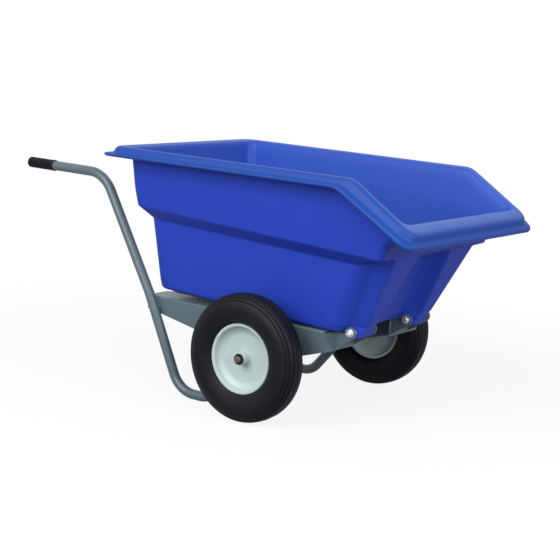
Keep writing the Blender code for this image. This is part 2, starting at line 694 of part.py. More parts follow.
def make_rest_bar():
    low = RAIL_TOP + GAP
    high = floor_height(REST_BAR_X + REST_BAR_WIDTH / 2) - GAP
    half = REST_BAR_WIDTH / 2
    wall = REST_BAR_WALL
    bar = plate("rest_bar",
                [(REST_BAR_X - half, low), (REST_BAR_X + half, low), (REST_BAR_X + half, high),
                 (REST_BAR_X - half, high)], REST_BAR_LENGTH, 0.0)
    bore = box("rest_bar_bore", (REST_BAR_X - half + wall, -REST_BAR_LENGTH, low + wall),
               (REST_BAR_X + half - wall, REST_BAR_LENGTH, high - wall))
    combine(bar, bore, "DIFFERENCE")
    dress(bar, FRAME_PAINT)


# Tub

LIP_ANGLE = math.atan2(RIM_CREST_Z - CREST_LIP_Z, CREST_LIP_X - CREST_KNEE)


def past_knee(x, knee):
    """Distance past the knee, eased over the rounded part of the rim's line."""
    run = x - knee
    if run <= -KNEE_REACH:
        return 0.0
    if run >= KNEE_REACH:
        return run
    return (run + KNEE_REACH) ** 2 / (4 * KNEE_REACH)


SIDE_SHARES = (0.07, 0.16, 0.20, 0.25, 0.50, 0.75)    # for outlines without a knee
PAD_LOW_TURN = 2.0        # degrees round the front corner, where a pad's outer side meets it
PAD_LEDGE_TURN = 26.0
PAD_HIGH_TURN = 45.0
LEDGE_RISE = {3: 0.92, 4: 0.75, 5: 0.58, 6: 0.42, 7: 0.28, 8: 0.18, 9: 0.10, 10: 0.04}   # by point of half()


class Section:
    """Level outline of the tub: a round-cornered rectangle with two pads on its front edge."""

    def __init__(self, rear, front, half_width, radii, pad_front, pad_lines, pad_turn, knee=None):
        self.rear = rear
        self.front = front
        self.half_width = half_width
        self.front_radius, self.rear_radius = radii
        self.pad_front = pad_front
        self.pad_lines = pad_lines      # Y of a pad's inner foot, inner edge and outer edge
        self.pad_turn = pad_turn        # where its outer side leaves the front corner, in degrees
        self.knee = knee                # X of the rim's knee, for outlines that bend there

    def half(self):
        """Points from the middle of the front edge round one side to the middle of the rear."""
        inner_foot, inner_edge, outer_edge = self.pad_lines
        radius = self.front_radius
        centre_x = self.front - radius
        centre_y = self.half_width - radius
        foot = arc_points(centre_x, centre_y, radius, self.pad_turn, 90.0, 5)
        points = [(self.front, 0.0), (self.front, inner_foot), (self.pad_front, inner_edge),
                  (self.pad_front, outer_edge)]
        if self.pad_front > self.front + 1e-6:
            last = Vector(points[-1])
            points += [tuple(last.lerp(Vector(foot[0]), i / 4)) for i in range(1, 4)]
        else:
            points += arc_points(centre_x, centre_y, radius, 0.0, self.pad_turn, 3)[:-1]
        points += foot
        radius = self.rear_radius
        rear_x = self.rear + radius
        points += [(x, self.half_width) for x in self.side_stations(centre_x, rear_x)]
        points += arc_points(rear_x, self.half_width - radius, radius, 90.0, 180.0, 5)
        points.append((self.rear, 0.0))
        return points

    def side_stations(self, front_x, rear_x):
        """X of the points along a side, closer together at the knee."""
        knee = self.knee
        if knee is None:
            return [front_x + (rear_x - front_x) * share for share in SIDE_SHARES]
        behind = knee - KNEE_REACH
        return [(front_x + knee + KNEE_REACH) / 2, knee + KNEE_REACH, knee, behind,
                behind + (rear_x - behind) / 3, behind + (rear_x - behind) * 2 / 3]

    def outline(self):
        """Closed outline, anticlockwise seen from above, from the middle of the front edge."""
        half = self.half()
        return half + [(x, -y) for x, y in reversed(half[1:-1])]


def offset_outline(points, distance):
    """Move a closed outline inwards by a distance, square to its edges."""
    moved = []
    count = len(points)
    for i in range(count):
        before, here, after = (Vector(points[j % count]) for j in (i - 1, i, i + 1))
        first = (here - before).normalized()
        second = (after - here).normalized()
        normal_1 = Vector((first.y, -first.x))
        normal_2 = Vector((second.y, -second.x))
        mitre = (normal_1 + normal_2) / (1.0 + normal_1.dot(normal_2))
        moved.append(tuple(here - mitre * distance))
    return moved


def pad_face(z):
    """X of the pads' sloping front face at a height, which is also the upper front wall."""
    return FRONT_PAD_X + (z - floor_height(0.0)) * FRONT_SLOPE


def tub_sections():
    """Outer outlines from the floor to the rim, with the height at X = 0 and the fall of each."""
    levels = ((FLOOR_OUTLINE, FLOOR_Z, FLOOR_TILT, PAD_DEPTH, PAD_LINES_LOW, PAD_LOW_TURN),
              (PAD_CLEAR_OUTLINE, FLOOR_Z + PAD_CORNER_CLEAR_Z, FLOOR_TILT, PAD_DEPTH, PAD_LINES_MIDDLE,
               PAD_LOW_TURN),
              (LEDGE_LOW_OUTLINE, LEDGE_LOW_Z, LEDGE_LOW_TILT, PAD_DEPTH, PAD_LINES_TOP, PAD_LEDGE_TURN),
              (LEDGE_HIGH_OUTLINE, LEDGE_HIGH_Z, LEDGE_HIGH_TILT, 0.0, PAD_LINES_LEDGE, PAD_HIGH_TURN),
              (FLARE_OUTLINE, FLARE_Z, FLARE_TILT, 0.0, PAD_LINES_LEDGE, PAD_HIGH_TURN))
    sections = []
    for (rear, half_width, *radii, front_x), height, tilt, depth, lines, turn in levels:
        face = pad_face(height - tilt * front_x)
        sections.append(Section(rear, face - depth, half_width, radii, face, lines, turn))
    return sections


def level(points, height, tilt):
    """Lift an outline onto a plane that falls towards the front."""
    return [Vector((x, y, height - tilt * x)) for x, y in points]


def ledge_underside(low, high, inset, lift):
    """Lower edge of the ledge, which rises round each front corner to end on the pad's edge."""
    points = level(offset_outline(low, inset), LEDGE_LOW_Z + lift, LEDGE_LOW_TILT)
    tops = level(offset_outline(high, inset), LEDGE_HIGH_Z + lift, LEDGE_HIGH_TILT)
    for i, share in LEDGE_RISE.items():
        for j in (i, len(points) - i):
            rise = (tops[j].z - points[j].z) * share
            points[j] += Vector((rise * FRONT_SLOPE, 0.0, rise))
    return points


def rim_loop(outward, up, front_inset, rear_inset, front_drop, radius, knee_shift):
    """Outline over the rim, moved out and up from the crest.

    The insets move it inwards at the front and rear, where the rim is wider than at the sides.
    The drop lowers its front end, and the shift moves its knee back.
    """
    lean_x = math.cos(LIP_ANGLE)
    lean_z = math.sin(LIP_ANGLE)
    out_front = outward - front_inset
    up_front = up - front_drop
    front_x = CREST_LIP_X + out_front * lean_x + up_front * lean_z
    front_z = CREST_LIP_Z - out_front * lean_z + up_front * lean_x
    knee = CREST_KNEE - knee_shift
    top = RIM_CREST_Z + up
    fall = (top - front_z) / (front_x - knee)
    section = Section(CREST_REAR - outward + rear_inset, front_x, CREST_HALF_WIDTH + outward,
                      (radius, radius), front_x, PAD_LINES_LEDGE, PAD_HIGH_TURN, knee)
    return [Vector((x, y, top - fall * past_knee(x, knee))) for x, y in section.outline()]


def rim_loops():
    """Outlines from the top of the outer wall over flange and bead to the inner wall."""
    wall, bead, edge = WALL_TO_CREST, BEAD_REACH, FLANGE_REACH
    groove = -BEAD_HEIGHT
    under = groove - FLANGE_THICKNESS
    front, rear = RIM_FRONT_WIDENING, RIM_REAR_WIDENING
    wall_r, flange_r = WALL_TOP_RADIUS, FLANGE_CORNER_RADIUS
    bead_r, inner_r = BEAD_CORNER_RADIUS, INNER_CORNER_RADIUS
    rows = [(-wall, under - 0.002, -0.003, 0.012, 0.016, wall_r, 0.042),
            (edge - 0.007, under, 0.002, 0.001, 0.0085, flange_r - 0.002, 0.042),
            (edge - 0.0015, under + 0.003, 0.0025, 0.001, 0.0075, flange_r, 0.040),
            (edge, groove - 0.004, 0.0025, 0.001, 0.0035, flange_r + 0.001, 0.036),
            (edge - 0.003, groove - 0.001, 0.0025, 0.001, 0.0, flange_r, 0.032),
            (bead + 0.0075, groove, 0.001, -0.001, 0.0, bead_r, 0.022),
            (bead + 0.003, groove + 0.0035, 0.001, -0.001, 0.0, bead_r, 0.018),
            (bead, groove + 0.0125, 0.001, 0.0, 0.0, bead_r - 0.001, 0.008),
            (bead - 0.0055, -0.003, 0.0, 0.0, 0.0, bead_r - 0.005, 0.003),
            (0.0, 0.0, 0.0, 0.0, 0.0, bead_r - 0.014, 0.0),
            (-0.009, -0.0015, front - 0.008, rear - 0.004, 0.0, inner_r + 0.001, 0.0),
            (0.003 - wall, -0.0075, front, rear, -0.003, inner_r, 0.003),
            (-wall, -0.018, front + 0.001, rear + 0.001, 0.0, inner_r - 0.001, 0.006),
            (-wall - TUB_WALL, -0.036, front, rear - 0.002, 0.0, inner_r + 0.003, 0.012)]
    return [rim_loop(*row) for row in rows]


def tub_loops():
    """Closed loops of the tub's skin, up the outside, over the rim and down the inside."""
    floor, clear, low, high, flared = (s.outline() for s in tub_sections())
    wall = TUB_WALL
    fillet = FLOOR_FILLET
    corner = 1.0 - math.sqrt(0.5)
    outside = [level(offset_outline(floor, fillet), FLOOR_Z, FLOOR_TILT),
               level(offset_outline(floor, fillet * corner), FLOOR_Z + fillet * corner, FLOOR_TILT),
               level(floor, FLOOR_Z + fillet, FLOOR_TILT),
               level(clear, FLOOR_Z + PAD_CORNER_CLEAR_Z, FLOOR_TILT),
               ledge_underside(low, high, 0.0, 0.0),
               level(high, LEDGE_HIGH_Z, LEDGE_HIGH_TILT),
               level(flared, FLARE_Z, FLARE_TILT)]
    inner_fillet = fillet - wall
    lift = wall * 0.5
    inside = [level(offset_outline(flared, wall), FLARE_Z + lift, FLARE_TILT),
              level(offset_outline(high, wall * 1.15), LEDGE_HIGH_Z + lift, LEDGE_HIGH_TILT),
              ledge_underside(low, high, wall * 1.15, lift),
              level(offset_outline(clear, wall), FLOOR_Z + PAD_CORNER_CLEAR_Z, FLOOR_TILT),
              level(offset_outline(floor, wall), FLOOR_Z + fillet, FLOOR_TILT),
              level(offset_outline(floor, wall + inner_fillet * corner),
                    FLOOR_Z + wall + inner_fillet * corner, FLOOR_TILT),
              level(offset_outline(floor, fillet), FLOOR_Z + wall, FLOOR_TILT)]
    return outside + rim_loops() + inside


def loft(name, loops):
    """Closed solid through loops of equal length, capped at both ends."""
    shape = bmesh.new()
    rings = [[shape.verts.new(point) for point in loop] for loop in loops]
    for lower, upper in zip(rings, rings[1:]):
        for i in range(len(lower)):
            j = (i + 1) % len(lower)
            shape.faces.new((lower[i], lower[j], upper[j], upper[i]))
    shape.faces.new(list(reversed(rings[0])))
    shape.faces.new(rings[-1])
    bmesh.ops.recalc_face_normals(shape, faces=shape.faces)
    return from_bmesh(name, shape)


def make_foot(side_name, side):
    """Pivot foot at the lower end of a pad: round below, tapered in plan like the pad."""
    top = PIVOT_Z + FOOT_TOP_RISE
    lean = Vector((FRONT_SLOPE, 1.0)).normalized()
    normal = Vector((lean.y, -lean.x))
    pivot = Vector((PIVOT_X, PIVOT_Z))
    front_low = pivot + normal * FOOT_RADIUS
    front_high = front_low + lean * (top - front_low.y) / lean.y
    start = math.degrees(math.atan2(normal.y, normal.x))
    side_view = [tuple(front_high)]
    side_view += arc_points(PIVOT_X, PIVOT_Z, FOOT_RADIUS, start, -195.0, 14)
    side_view += [(PIVOT_X - FOOT_RADIUS, top)]
    low_y = EAR_INNER + CLEVIS_PLATE + FOOT_SIDE_CLEARANCE
    high_y = EAR_OUTER - CLEVIS_PLATE - FOOT_SIDE_CLEARANCE
    foot = plate("foot_" + side_name, side_view, high_y - low_y, side * (low_y + high_y) / 2)
    taper = loft("foot_taper_" + side_name, [
        [Vector((PIVOT_X - 0.040, side * low_y, z)), Vector((PIVOT_X - 0.010, side * low_y, z)),
         Vector((PIVOT_X + 0.040, side * (low_y + FOOT_INNER_TAPER), z)),
         Vector((PIVOT_X + 0.040, side * (high_y - FOOT_OUTER_TAPER), z)),
         Vector((PIVOT_X - 0.014, side * high_y, z)), Vector((PIVOT_X - 0.040, side * high_y, z))]
        for z in (PIVOT_Z - 0.06, PIVOT_Z + 0.06)])
    combine(foot, taper, "INTERSECT")
    return foot


def make_tub():
    marker = empty("tub_pivot_axis", PIVOT)
    tub = loft("tub", tub_loops())
    sleeve_radius = BOLT_RADIUS + GAP + SLEEVE_WALL
    for side_name, side in SIDES.items():
        combine(tub, make_foot(side_name, side), "UNION")
    for side_name, side in SIDES.items():
        start, end = side * (EAR_INNER + 0.002), side * (EAR_OUTER - 0.002)
        bore = cylinder_along_y("foot_bore_" + side_name, sleeve_radius + GAP, start, end,
                                PIVOT_X, PIVOT_Z)
        combine(tub, bore, "DIFFERENCE")
        sleeve_start = EAR_INNER + CLEVIS_PLATE + GAP
        sleeve_end = EAR_OUTER - CLEVIS_PLATE - GAP
        sleeve = turned("pivot_sleeve_" + side_name,
                        ring_profile(BOLT_RADIUS + GAP, sleeve_radius, sleeve_start, sleeve_end),
                        PIVOT, side)
        dress(sleeve, ZINC, 0)
        carry(marker, sleeve)
    dress(tub, TUB_PLASTIC)
    carry(marker, tub)


for side_label, side_sign in SIDES.items():
    make_wheel(side_label, side_sign)
    make_rail(side_label, side_sign)
    make_clevis(side_label, side_sign)
    make_pivot_hardware(side_label, side_sign)
    make_handle(side_label, side_sign)
make_axle()
make_cross_channel()
make_rest_bar()
make_tub()
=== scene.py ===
"""Tipping barrow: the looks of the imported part, one section for each piece or group of pieces.

Metres. +X points forward to the pouring lip, +Y to the barrow's left, +Z up, ground at Z = 0.
"""
import math

import bpy
from mathutils import Matrix, Quaternion, Vector


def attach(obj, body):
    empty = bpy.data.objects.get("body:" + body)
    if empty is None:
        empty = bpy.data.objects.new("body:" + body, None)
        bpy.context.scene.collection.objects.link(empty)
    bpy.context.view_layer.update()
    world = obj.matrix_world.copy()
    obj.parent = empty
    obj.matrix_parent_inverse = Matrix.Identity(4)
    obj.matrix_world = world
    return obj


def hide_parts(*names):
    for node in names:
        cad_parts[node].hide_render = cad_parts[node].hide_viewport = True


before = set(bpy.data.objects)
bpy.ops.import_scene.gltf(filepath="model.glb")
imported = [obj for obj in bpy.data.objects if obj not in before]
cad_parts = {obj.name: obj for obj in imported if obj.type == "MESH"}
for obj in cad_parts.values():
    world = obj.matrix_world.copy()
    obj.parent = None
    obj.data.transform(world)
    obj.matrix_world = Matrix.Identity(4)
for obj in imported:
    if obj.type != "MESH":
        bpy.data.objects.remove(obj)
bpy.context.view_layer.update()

# Tyres: black moulded rubber with five ribs round the tread, plain sidewalls and a raised ring
# above each bead. Each is one closed section, drawn once and spun round the axle's line.

SIDES = {"right": -1, "left": 1}
AXLE_Z = 0.200
WHEEL_Y = 0.368
WHEEL_STEPS = 96
MERGE_DISTANCE = 0.00001


class Socket:
    """An output of a material's nodes. Arithmetic on it adds Math nodes."""

    def __init__(self, tree, output=None):
        self.tree = tree
        self.output = output

    def node(self, kind, settings, inputs, output=0):
        """Add a node, set it up, then give its inputs their values or links."""
        made = self.tree.nodes.new("ShaderNode" + kind)
        for key, value in settings.items():
            setattr(made, key, value)
        for key, value in inputs.items():
            if isinstance(value, Socket):
                self.tree.links.new(value.output, made.inputs[key])
            else:
                made.inputs[key].default_value = value
        return Socket(self.tree, made.outputs[output])

    def math(self, operation, first, second):
        """Result of a Math node on two values."""
        return self.node("Math", {"operation": operation}, {0: first, 1: second})

    def __add__(self, other):
        return self.math("ADD", self, other)

    __radd__ = __add__

    def __sub__(self, other):
        return self.math("SUBTRACT", self, other)

    def __rsub__(self, other):
        return self.math("SUBTRACT", other, self)

    def __mul__(self, other):
        return self.math("MULTIPLY", self, other)

    __rmul__ = __mul__

    def between(self, low, high):
        """Smooth mask from 0 at low to 1 at high."""
        return self.node("MapRange", {"interpolation_type": "SMOOTHSTEP"},
                         {"Value": self, "From Min": low, "From Max": high}, 0)

    def mix(self, first, second):
        """Colour that goes from first to second with this mask."""
        return self.node("Mix", {"data_type": "RGBA"}, {0: self, 6: first, 7: second}, 2)

    def noise(self, scale, detail=2.0, roughness=0.5):
        """Noise from 0 to 1 over this vector."""
        return self.node("TexNoise", {}, {"Vector": self, "Scale": scale, "Detail": detail,
                                          "Roughness": roughness}, 0)

    def stretched(self, scale):
        """This vector, scaled differently along each axis."""
        return self.node("Mapping", {}, {"Vector": self, "Scale": scale})

    def bump(self, distance, strength=1.0):
        """Normal bumped by this height."""
        return self.node("Bump", {}, {"Height": self, "Distance": distance, "Strength": strength})


def finish(name, **plain):
    """New material: its shader, with the plain numbers set, and the place of each point on it."""
    material = bpy.data.materials.new(name)
    material.use_nodes = True
    shader = material.node_tree.nodes["Principled BSDF"]
    for key, value in plain.items():
        shader.inputs[key.replace("_", " ")].default_value = value
    place = Socket(material.node_tree).node("TexCoord", {}, {}, 3)
    return material, shader, place


def feed(shader, **links):
    """Link sockets into a shader's inputs."""
    for key, socket in links.items():
        socket.tree.links.new(socket.output, shader.inputs[key.replace("_", " ")])


def softened(points, setbacks, closed=False, steps=3):
    """Points of a line with chosen corners rounded, each over its setback along the line."""
    most, shortest = 0.45, 1e-6
    line = []
    count = len(points)
    for i, here in enumerate(points):
        setback = setbacks.get(i, 0.0)
        if not setback or (not closed and i in (0, count - 1)):
            line.append(Vector(here))
            continue
        here = Vector(here)
        before = Vector(points[i - 1]) - here
        after = Vector(points[(i + 1) % count]) - here
        start = here + before * min(most, setback / max(before.length, shortest))
        end = here + after * min(most, setback / max(after.length, shortest))
        for step in range(steps + 1):
            share = step / steps
            line.append(start.lerp(here, share).lerp(here.lerp(end, share), share))
    return line


def started(name, add, **settings):
    """Primitive that a piece starts from, alone in the selection, with its place in its mesh."""
    bpy.ops.object.select_all(action="DESELECT")
    add(**settings)
    piece = bpy.context.object
    piece.name = name
    bpy.ops.object.transform_apply(location=True, rotation=True, scale=True)
    return piece


def closed_up():
    """End edit mode, with the piece's doubles merged and its faces turned outwards."""
    bpy.ops.mesh.select_all(action="SELECT")
    bpy.ops.mesh.remove_doubles(threshold=MERGE_DISTANCE)
    bpy.ops.mesh.normals_make_consistent(inside=False)
    bpy.ops.object.mode_set(mode="OBJECT")


def turned_piece(name, profile, centre, side=1, steps=64):
    """Piece of a closed profile, as radius and distance outward, spun about a line along Y."""
    piece = started(name, bpy.ops.mesh.primitive_circle_add, vertices=len(profile), radius=0.1)
    for vertex, (radius, outward) in zip(piece.data.vertices, profile):
        vertex.co = Vector(centre) + Vector((0.0, side * outward, max(radius, 0.0)))
    bpy.ops.object.mode_set(mode="EDIT")
    bpy.ops.mesh.select_all(action="SELECT")
    bpy.ops.mesh.spin(steps=steps, angle=math.tau, center=centre, axis=(0.0, 1.0, 0.0))
    closed_up()
    return piece


def alone(piece):
    """Select one piece and nothing else."""
    bpy.ops.object.select_all(action="DESELECT")
    piece.select_set(True)
    bpy.context.view_layer.objects.active = piece


def dress(piece, material, body, nodes=(), smooth=32.0):
    """Smooth a finished piece, give it its material and put it on its body for its CAD nodes."""
    alone(piece)
    bpy.ops.object.shade_smooth_by_angle(angle=math.radians(smooth))
    even = piece.modifiers.new("even_faces", "WEIGHTED_NORMAL")
    even.keep_sharp = True
    bpy.ops.object.modifier_apply(modifier=even.name)
    piece.data.materials.clear()
    piece.data.materials.append(material)
    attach(piece, body)
    if nodes:
        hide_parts(*nodes)


rubber, shader, place = finish("tyre_rubber", Specular_IOR_Level=0.19)
dust = place.noise(9.0, 4.0).between(0.40, 0.75)
pores = place.noise(700.0, 3.0, 0.6)
feed(shader,
     Base_Color=(dust * 0.7).mix((0.0028, 0.0034, 0.0058, 1.0), (0.0070, 0.0078, 0.0106, 1.0)),
     Roughness=0.38 + dust * 0.14 + pores * 0.06,
     Normal=pores.bump(0.0002, 0.4))


def tyre_section():
    """Outer skin from the tread's middle to a bead, then the hollow inside, for both halves."""
    half = [(0.1964, 0.0), (0.1964, 0.0008), (0.2000, 0.0019),
            (0.1984, 0.0194), (0.1940, 0.0205), (0.1938, 0.0225), (0.1974, 0.0236),
            (0.1954, 0.0274), (0.1916, 0.0302), (0.1884, 0.0296), (0.1884, 0.0328),
            (0.1858, 0.0344), (0.1818, 0.0367), (0.1790, 0.0357), (0.1786, 0.0387),
            (0.1715, 0.0422), (0.1640, 0.0438), (0.1630, 0.0432), (0.1620, 0.0440),
            (0.1568, 0.0445), (0.1450, 0.0442), (0.1300, 0.0412), (0.1235, 0.0389),
            (0.1222, 0.0391), (0.1200, 0.0384), (0.1195, 0.0374), (0.1150, 0.0336),
            (0.1106, 0.0296), (0.1021, 0.0264), (0.1021, 0.0140), (0.1150, 0.0240),
            (0.1440, 0.0370), (0.1780, 0.0300)]
    corners = {i: 0.0007 for i in range(1, len(half))}
    shoulder = {7: 0.0040, 11: 0.0050, 15: 0.0050}
    sidewall = {19: 0.0050, 20: 0.0080, 21: 0.0050}
    bead = {26: 0.0030, 27: 0.0020}
    hollow = {30: 0.0030, 31: 0.0100, 32: 0.0080}
    corners.update(shoulder | sidewall | bead | hollow)
    outside = softened(half, corners)
    mirrored = [Vector((point.x, -point.y)) for point in outside[1:]]
    return outside + mirrored[::-1]


for name, side in SIDES.items():
    tyre = turned_piece("tyre_casing_" + name, tyre_section(), (0.0, side * WHEEL_Y, AXLE_Z), side,
                        WHEEL_STEPS)
    dress(tyre, rubber, "wheel_" + name, ["tyre_" + name], 40.0)

# Rims: two pressed steel dishes, back to back and painted a pale mint white, round a hub tube.
# Each dish is a spun section: rolled flange, bead seat, sloping wall and a flat middle.

HUB_BORE = 0.0148
HUB_RADIUS = 0.0180
HUB_HALF = 0.0322
HUB_STEPS = 48

rim_paint, shader, place = finish("rim_paint", Coat_Roughness=0.30, Specular_IOR_Level=0.4)
mottle = place.noise(22.0, 3.0)
peel = place.noise(260.0, 1.0)
settled = place.noise(55.0, 5.0, 0.65).between(0.58, 0.72)
feed(shader,
     Base_Color=(settled * 0.5 + mottle * 0.2).mix((0.515, 0.612, 0.575, 1.0),
                                                   (0.455, 0.535, 0.500, 1.0)),
     Roughness=0.40 + mottle * 0.10 + settled * 0.10,
     Coat_Weight=0.3 - settled * 0.2,
     Normal=(peel + mottle * 0.5).bump(0.0003, 0.35))


def dish_section():
    """Section of one dish, outside first."""
    line = [(0.1090, 0.0293), (0.1094, 0.0275), (0.1084, 0.0266), (0.1012, 0.0262),
            (0.1012, 0.0108), (0.0815, 0.0004), (0.0184, 0.0004), (0.0184, 0.0029),
            (0.0800, 0.0029), (0.0986, 0.0128), (0.0990, 0.0262), (0.1006, 0.0286),
            (0.1066, 0.0295)]
    setbacks = {0: 0.0007, 1: 0.0006, 2: 0.0006, 3: 0.0020, 4: 0.0025, 5: 0.0040, 8: 0.0060,
                9: 0.0050, 10: 0.0030, 11: 0.0016, 12: 0.0010}
    return softened(line, setbacks, closed=True)


for name, side in SIDES.items():
    centre = (0.0, side * WHEEL_Y, AXLE_Z)
    for place_name, facing in (("outer", side), ("inner", -side)):
        dish = turned_piece("rim_dish_" + place_name + "_" + name, dish_section(), centre,
                            facing, WHEEL_STEPS)
        dress(dish, rim_paint, "wheel_" + name, ["rim_" + place_name + "_" + name])
    hub = turned_piece("hub_tube_" + name,
                       softened([(HUB_BORE, -HUB_HALF), (HUB_BORE, HUB_HALF),
                                 (HUB_RADIUS, HUB_HALF), (HUB_RADIUS, -HUB_HALF)],
                                {0: 0.0004, 1: 0.0004, 2: 0.0008, 3: 0.0008}, closed=True),
                       centre, side, HUB_STEPS)
    dress(hub, rim_paint, "wheel_" + name, ["hub_" + name])

# Hub welds: a steel fillet all round on each face of the wheel, which joins the dishes to the
# hub tube, under the same paint. Each is a torus whose size swells in ripples.

HUB_WELD_RADIUS = 0.0190
HUB_WELD_SIZE = 0.0022
HUB_WELD_OFFSET = 0.0038
HUB_WELD_RIPPLES = 34


def weld_ring(name, radius, size, centre, facing, ripples):
    """Ring of weld about a line along Y: a torus whose size swells at each ripple."""
    ripple, drift = 0.16, 0.05
    bead = started(name, bpy.ops.mesh.primitive_torus_add, major_radius=radius, minor_radius=size,
                   major_segments=ripples * 4, minor_segments=10, location=centre,
                   rotation=(math.radians(90.0), 0.0, 0.0))
    for vertex in bead.data.vertices:
        arm = vertex.co - Vector(centre)
        turn = math.atan2(arm.z, arm.x)
        core = Vector(centre) + Vector((arm.x, 0.0, arm.z)).normalized() * radius
        swell = 1.0 + ripple * math.sin(turn * ripples + facing) + drift * math.sin(turn * 3.0)
        vertex.co = core + (vertex.co - core) * swell
    return bead


for name, side in SIDES.items():
    for place_name, facing in (("outer", side), ("inner", -side)):
        centre = (0.0, side * WHEEL_Y + facing * HUB_WELD_OFFSET, AXLE_Z)
        bead = weld_ring("hub_weld_" + place_name + "_" + name, HUB_WELD_RADIUS, HUB_WELD_SIZE,
                         centre, facing, HUB_WELD_RIPPLES)
        dress(bead, rim_paint, "wheel_" + name)

# Bushes: black nylon rings that turn on the axle, pressed into both ends of a hub tube, each
# with a thin flange against the tube's end. Each is one spun section.

AXLE_HOLE = 0.0103
BUSH_RADIUS = 0.0145
BUSH_START = 0.0165
FLANGE_RADIUS = 0.0175
FLANGE_START = 0.0325
BUSH_END = 0.0343
RING_STEPS = 40

nylon, shader, place = finish("bush_nylon", Specular_IOR_Level=0.4)
scuff = place.noise(400.0, 3.0)
feed(shader,
     Base_Color=scuff.mix((0.014, 0.014, 0.015, 1.0), (0.035, 0.033, 0.032, 1.0)),
     Roughness=0.40 + scuff * 0.2,
     Normal=scuff.bump(0.0001, 0.4))

for name, side in SIDES.items():
    for place_name, facing in (("outer", side), ("inner", -side)):
        bush = turned_piece("bush_ring_" + place_name + "_" + name,
                            softened([(AXLE_HOLE, BUSH_START), (BUSH_RADIUS, BUSH_START),
                                      (BUSH_RADIUS, FLANGE_START), (FLANGE_RADIUS, FLANGE_START),
                                      (FLANGE_RADIUS, BUSH_END), (AXLE_HOLE, BUSH_END)],
                                     {3: 0.0003, 4: 0.0006, 5: 0.0006}, closed=True),
                            (0.0, side * WHEEL_Y, AXLE_Z), facing, RING_STEPS)
        dress(bush, nylon, "wheel_" + name, ["bush_" + place_name + "_" + name])

# Axle: a straight drawn shaft, brown with oil and light rust, chamfered at its ends.
# Spacers, washers and the split pins in its ends hold the wheels.

AXLE_RADIUS = 0.0100
AXLE_END = 0.4108
AXLE_CHAMFER = 0.0014
SPACER_RADIUS = 0.0150
SPACER_ENDS = (0.2690, 0.3334)
WASHER_RADIUS = 0.0165
WASHER_FACES = (0.4026, 0.4046)

shaft_steel, shader, place = finish("axle_steel", Specular_IOR_Level=0.5)
rust = place.noise(60.0, 6.0, 0.7).between(0.42, 0.62)
scratches = place.stretched((1.0, 90.0, 1.0)).noise(40.0, 2.0)
feed(shader,
     Base_Color=rust.mix((0.210, 0.185, 0.150, 1.0), (0.060, 0.040, 0.026, 1.0)),
     Metallic=0.75 - rust * 0.7,
     Roughness=0.42 + rust * 0.35 + scratches * 0.1,
     Normal=(rust * 0.6 + scratches * 0.4).bump(0.0002, 0.5))

dark_steel, shader, place = finish("dark_steel", Metallic=0.6, Specular_IOR_Level=0.3)
grime = place.noise(300.0, 3.0)
feed(shader,
     Base_Color=grime.mix((0.010, 0.010, 0.011, 1.0), (0.040, 0.038, 0.034, 1.0)),
     Roughness=0.40 + grime * 0.3)

half = [(AXLE_RADIUS, AXLE_END - AXLE_CHAMFER), (AXLE_RADIUS - AXLE_CHAMFER, AXLE_END),
        (0.0, AXLE_END)]
shaft = turned_piece("axle_shaft",
                     softened([(radius, -y) for radius, y in reversed(half)] + half,
                              {1: 0.0004, 2: 0.0004, 3: 0.0004, 4: 0.0004}),
                     (0.0, 0.0, AXLE_Z), 1, RING_STEPS)
dress(shaft, shaft_steel, "frame", ["axle"])


def sleeve_section(bore, radius, ends, edges):
    """Section of a plain ring between two ends, its edges softened."""
    start, end = ends
    return softened([(bore, start), (radius, start), (radius, end), (bore, end)], edges,
                    closed=True)


for name, side in SIDES.items():
    spacer = turned_piece("axle_sleeve_" + name,
                          sleeve_section(AXLE_HOLE, SPACER_RADIUS, SPACER_ENDS,
                                         {1: 0.0008, 2: 0.0008}),
                          (0.0, 0.0, AXLE_Z), side, RING_STEPS)
    dress(spacer, shaft_steel, "frame", ["axle_spacer_" + name])
    washer = turned_piece("axle_ring_" + name,
                          sleeve_section(AXLE_HOLE, WASHER_RADIUS, WASHER_FACES,
                                         {1: 0.0004, 2: 0.0007, 3: 0.0004}),
                          (0.0, 0.0, AXLE_Z), side, RING_STEPS)
    dress(washer, dark_steel, "frame", ["axle_washer_" + name])

# Split pins: half-round wire folded double, so each has an eye above the shaft, two legs through
# it and the ends spread apart below. A pin is one bent line given a round section.


def wire(name, path, radius, rings):
    """Bent round wire or bar along a path, as a mesh."""
    curve = bpy.data.curves.new(name, "CURVE")
    curve.dimensions = "3D"
    curve.bevel_depth = radius
    curve.bevel_resolution = rings
    curve.use_fill_caps = True
    spline = curve.splines.new("POLY")
    spline.points.add(len(path) - 1)
    for point, where in zip(spline.points, path):
        point.co = (*where, 1.0)
    bar = bpy.data.objects.new(name, curve)
    bpy.context.collection.objects.link(bar)
    alone(bar)
    bpy.ops.object.convert(target="MESH")
    bar = bpy.context.object
    bpy.ops.object.mode_set(mode="EDIT")
    closed_up()
    return bar


PIN_Y = 0.4064
PIN_LEG = 0.0008
PIN_WIRE = 0.0010
pin_line = [(-0.0064, -0.0148), (-PIN_LEG, -0.0118), (-PIN_LEG, 0.0104), (-0.0044, 0.0116),
            (-0.0053, 0.0142), (-0.0022, 0.0160), (0.0022, 0.0160), (0.0053, 0.0142),
            (0.0044, 0.0116), (PIN_LEG, 0.0104), (PIN_LEG, -0.0118), (0.0050, -0.0144)]
pin_path = softened(pin_line, {i: 0.0016 for i in range(1, len(pin_line) - 1)})
for name, side in SIDES.items():
    pin = wire("split_pin_" + name, [(p.x, side * PIN_Y, AXLE_Z + p.y) for p in pin_path],
               PIN_WIRE, rings=3)
    dress(pin, dark_steel, "frame", ["cotter_pin_" + name], 50.0)

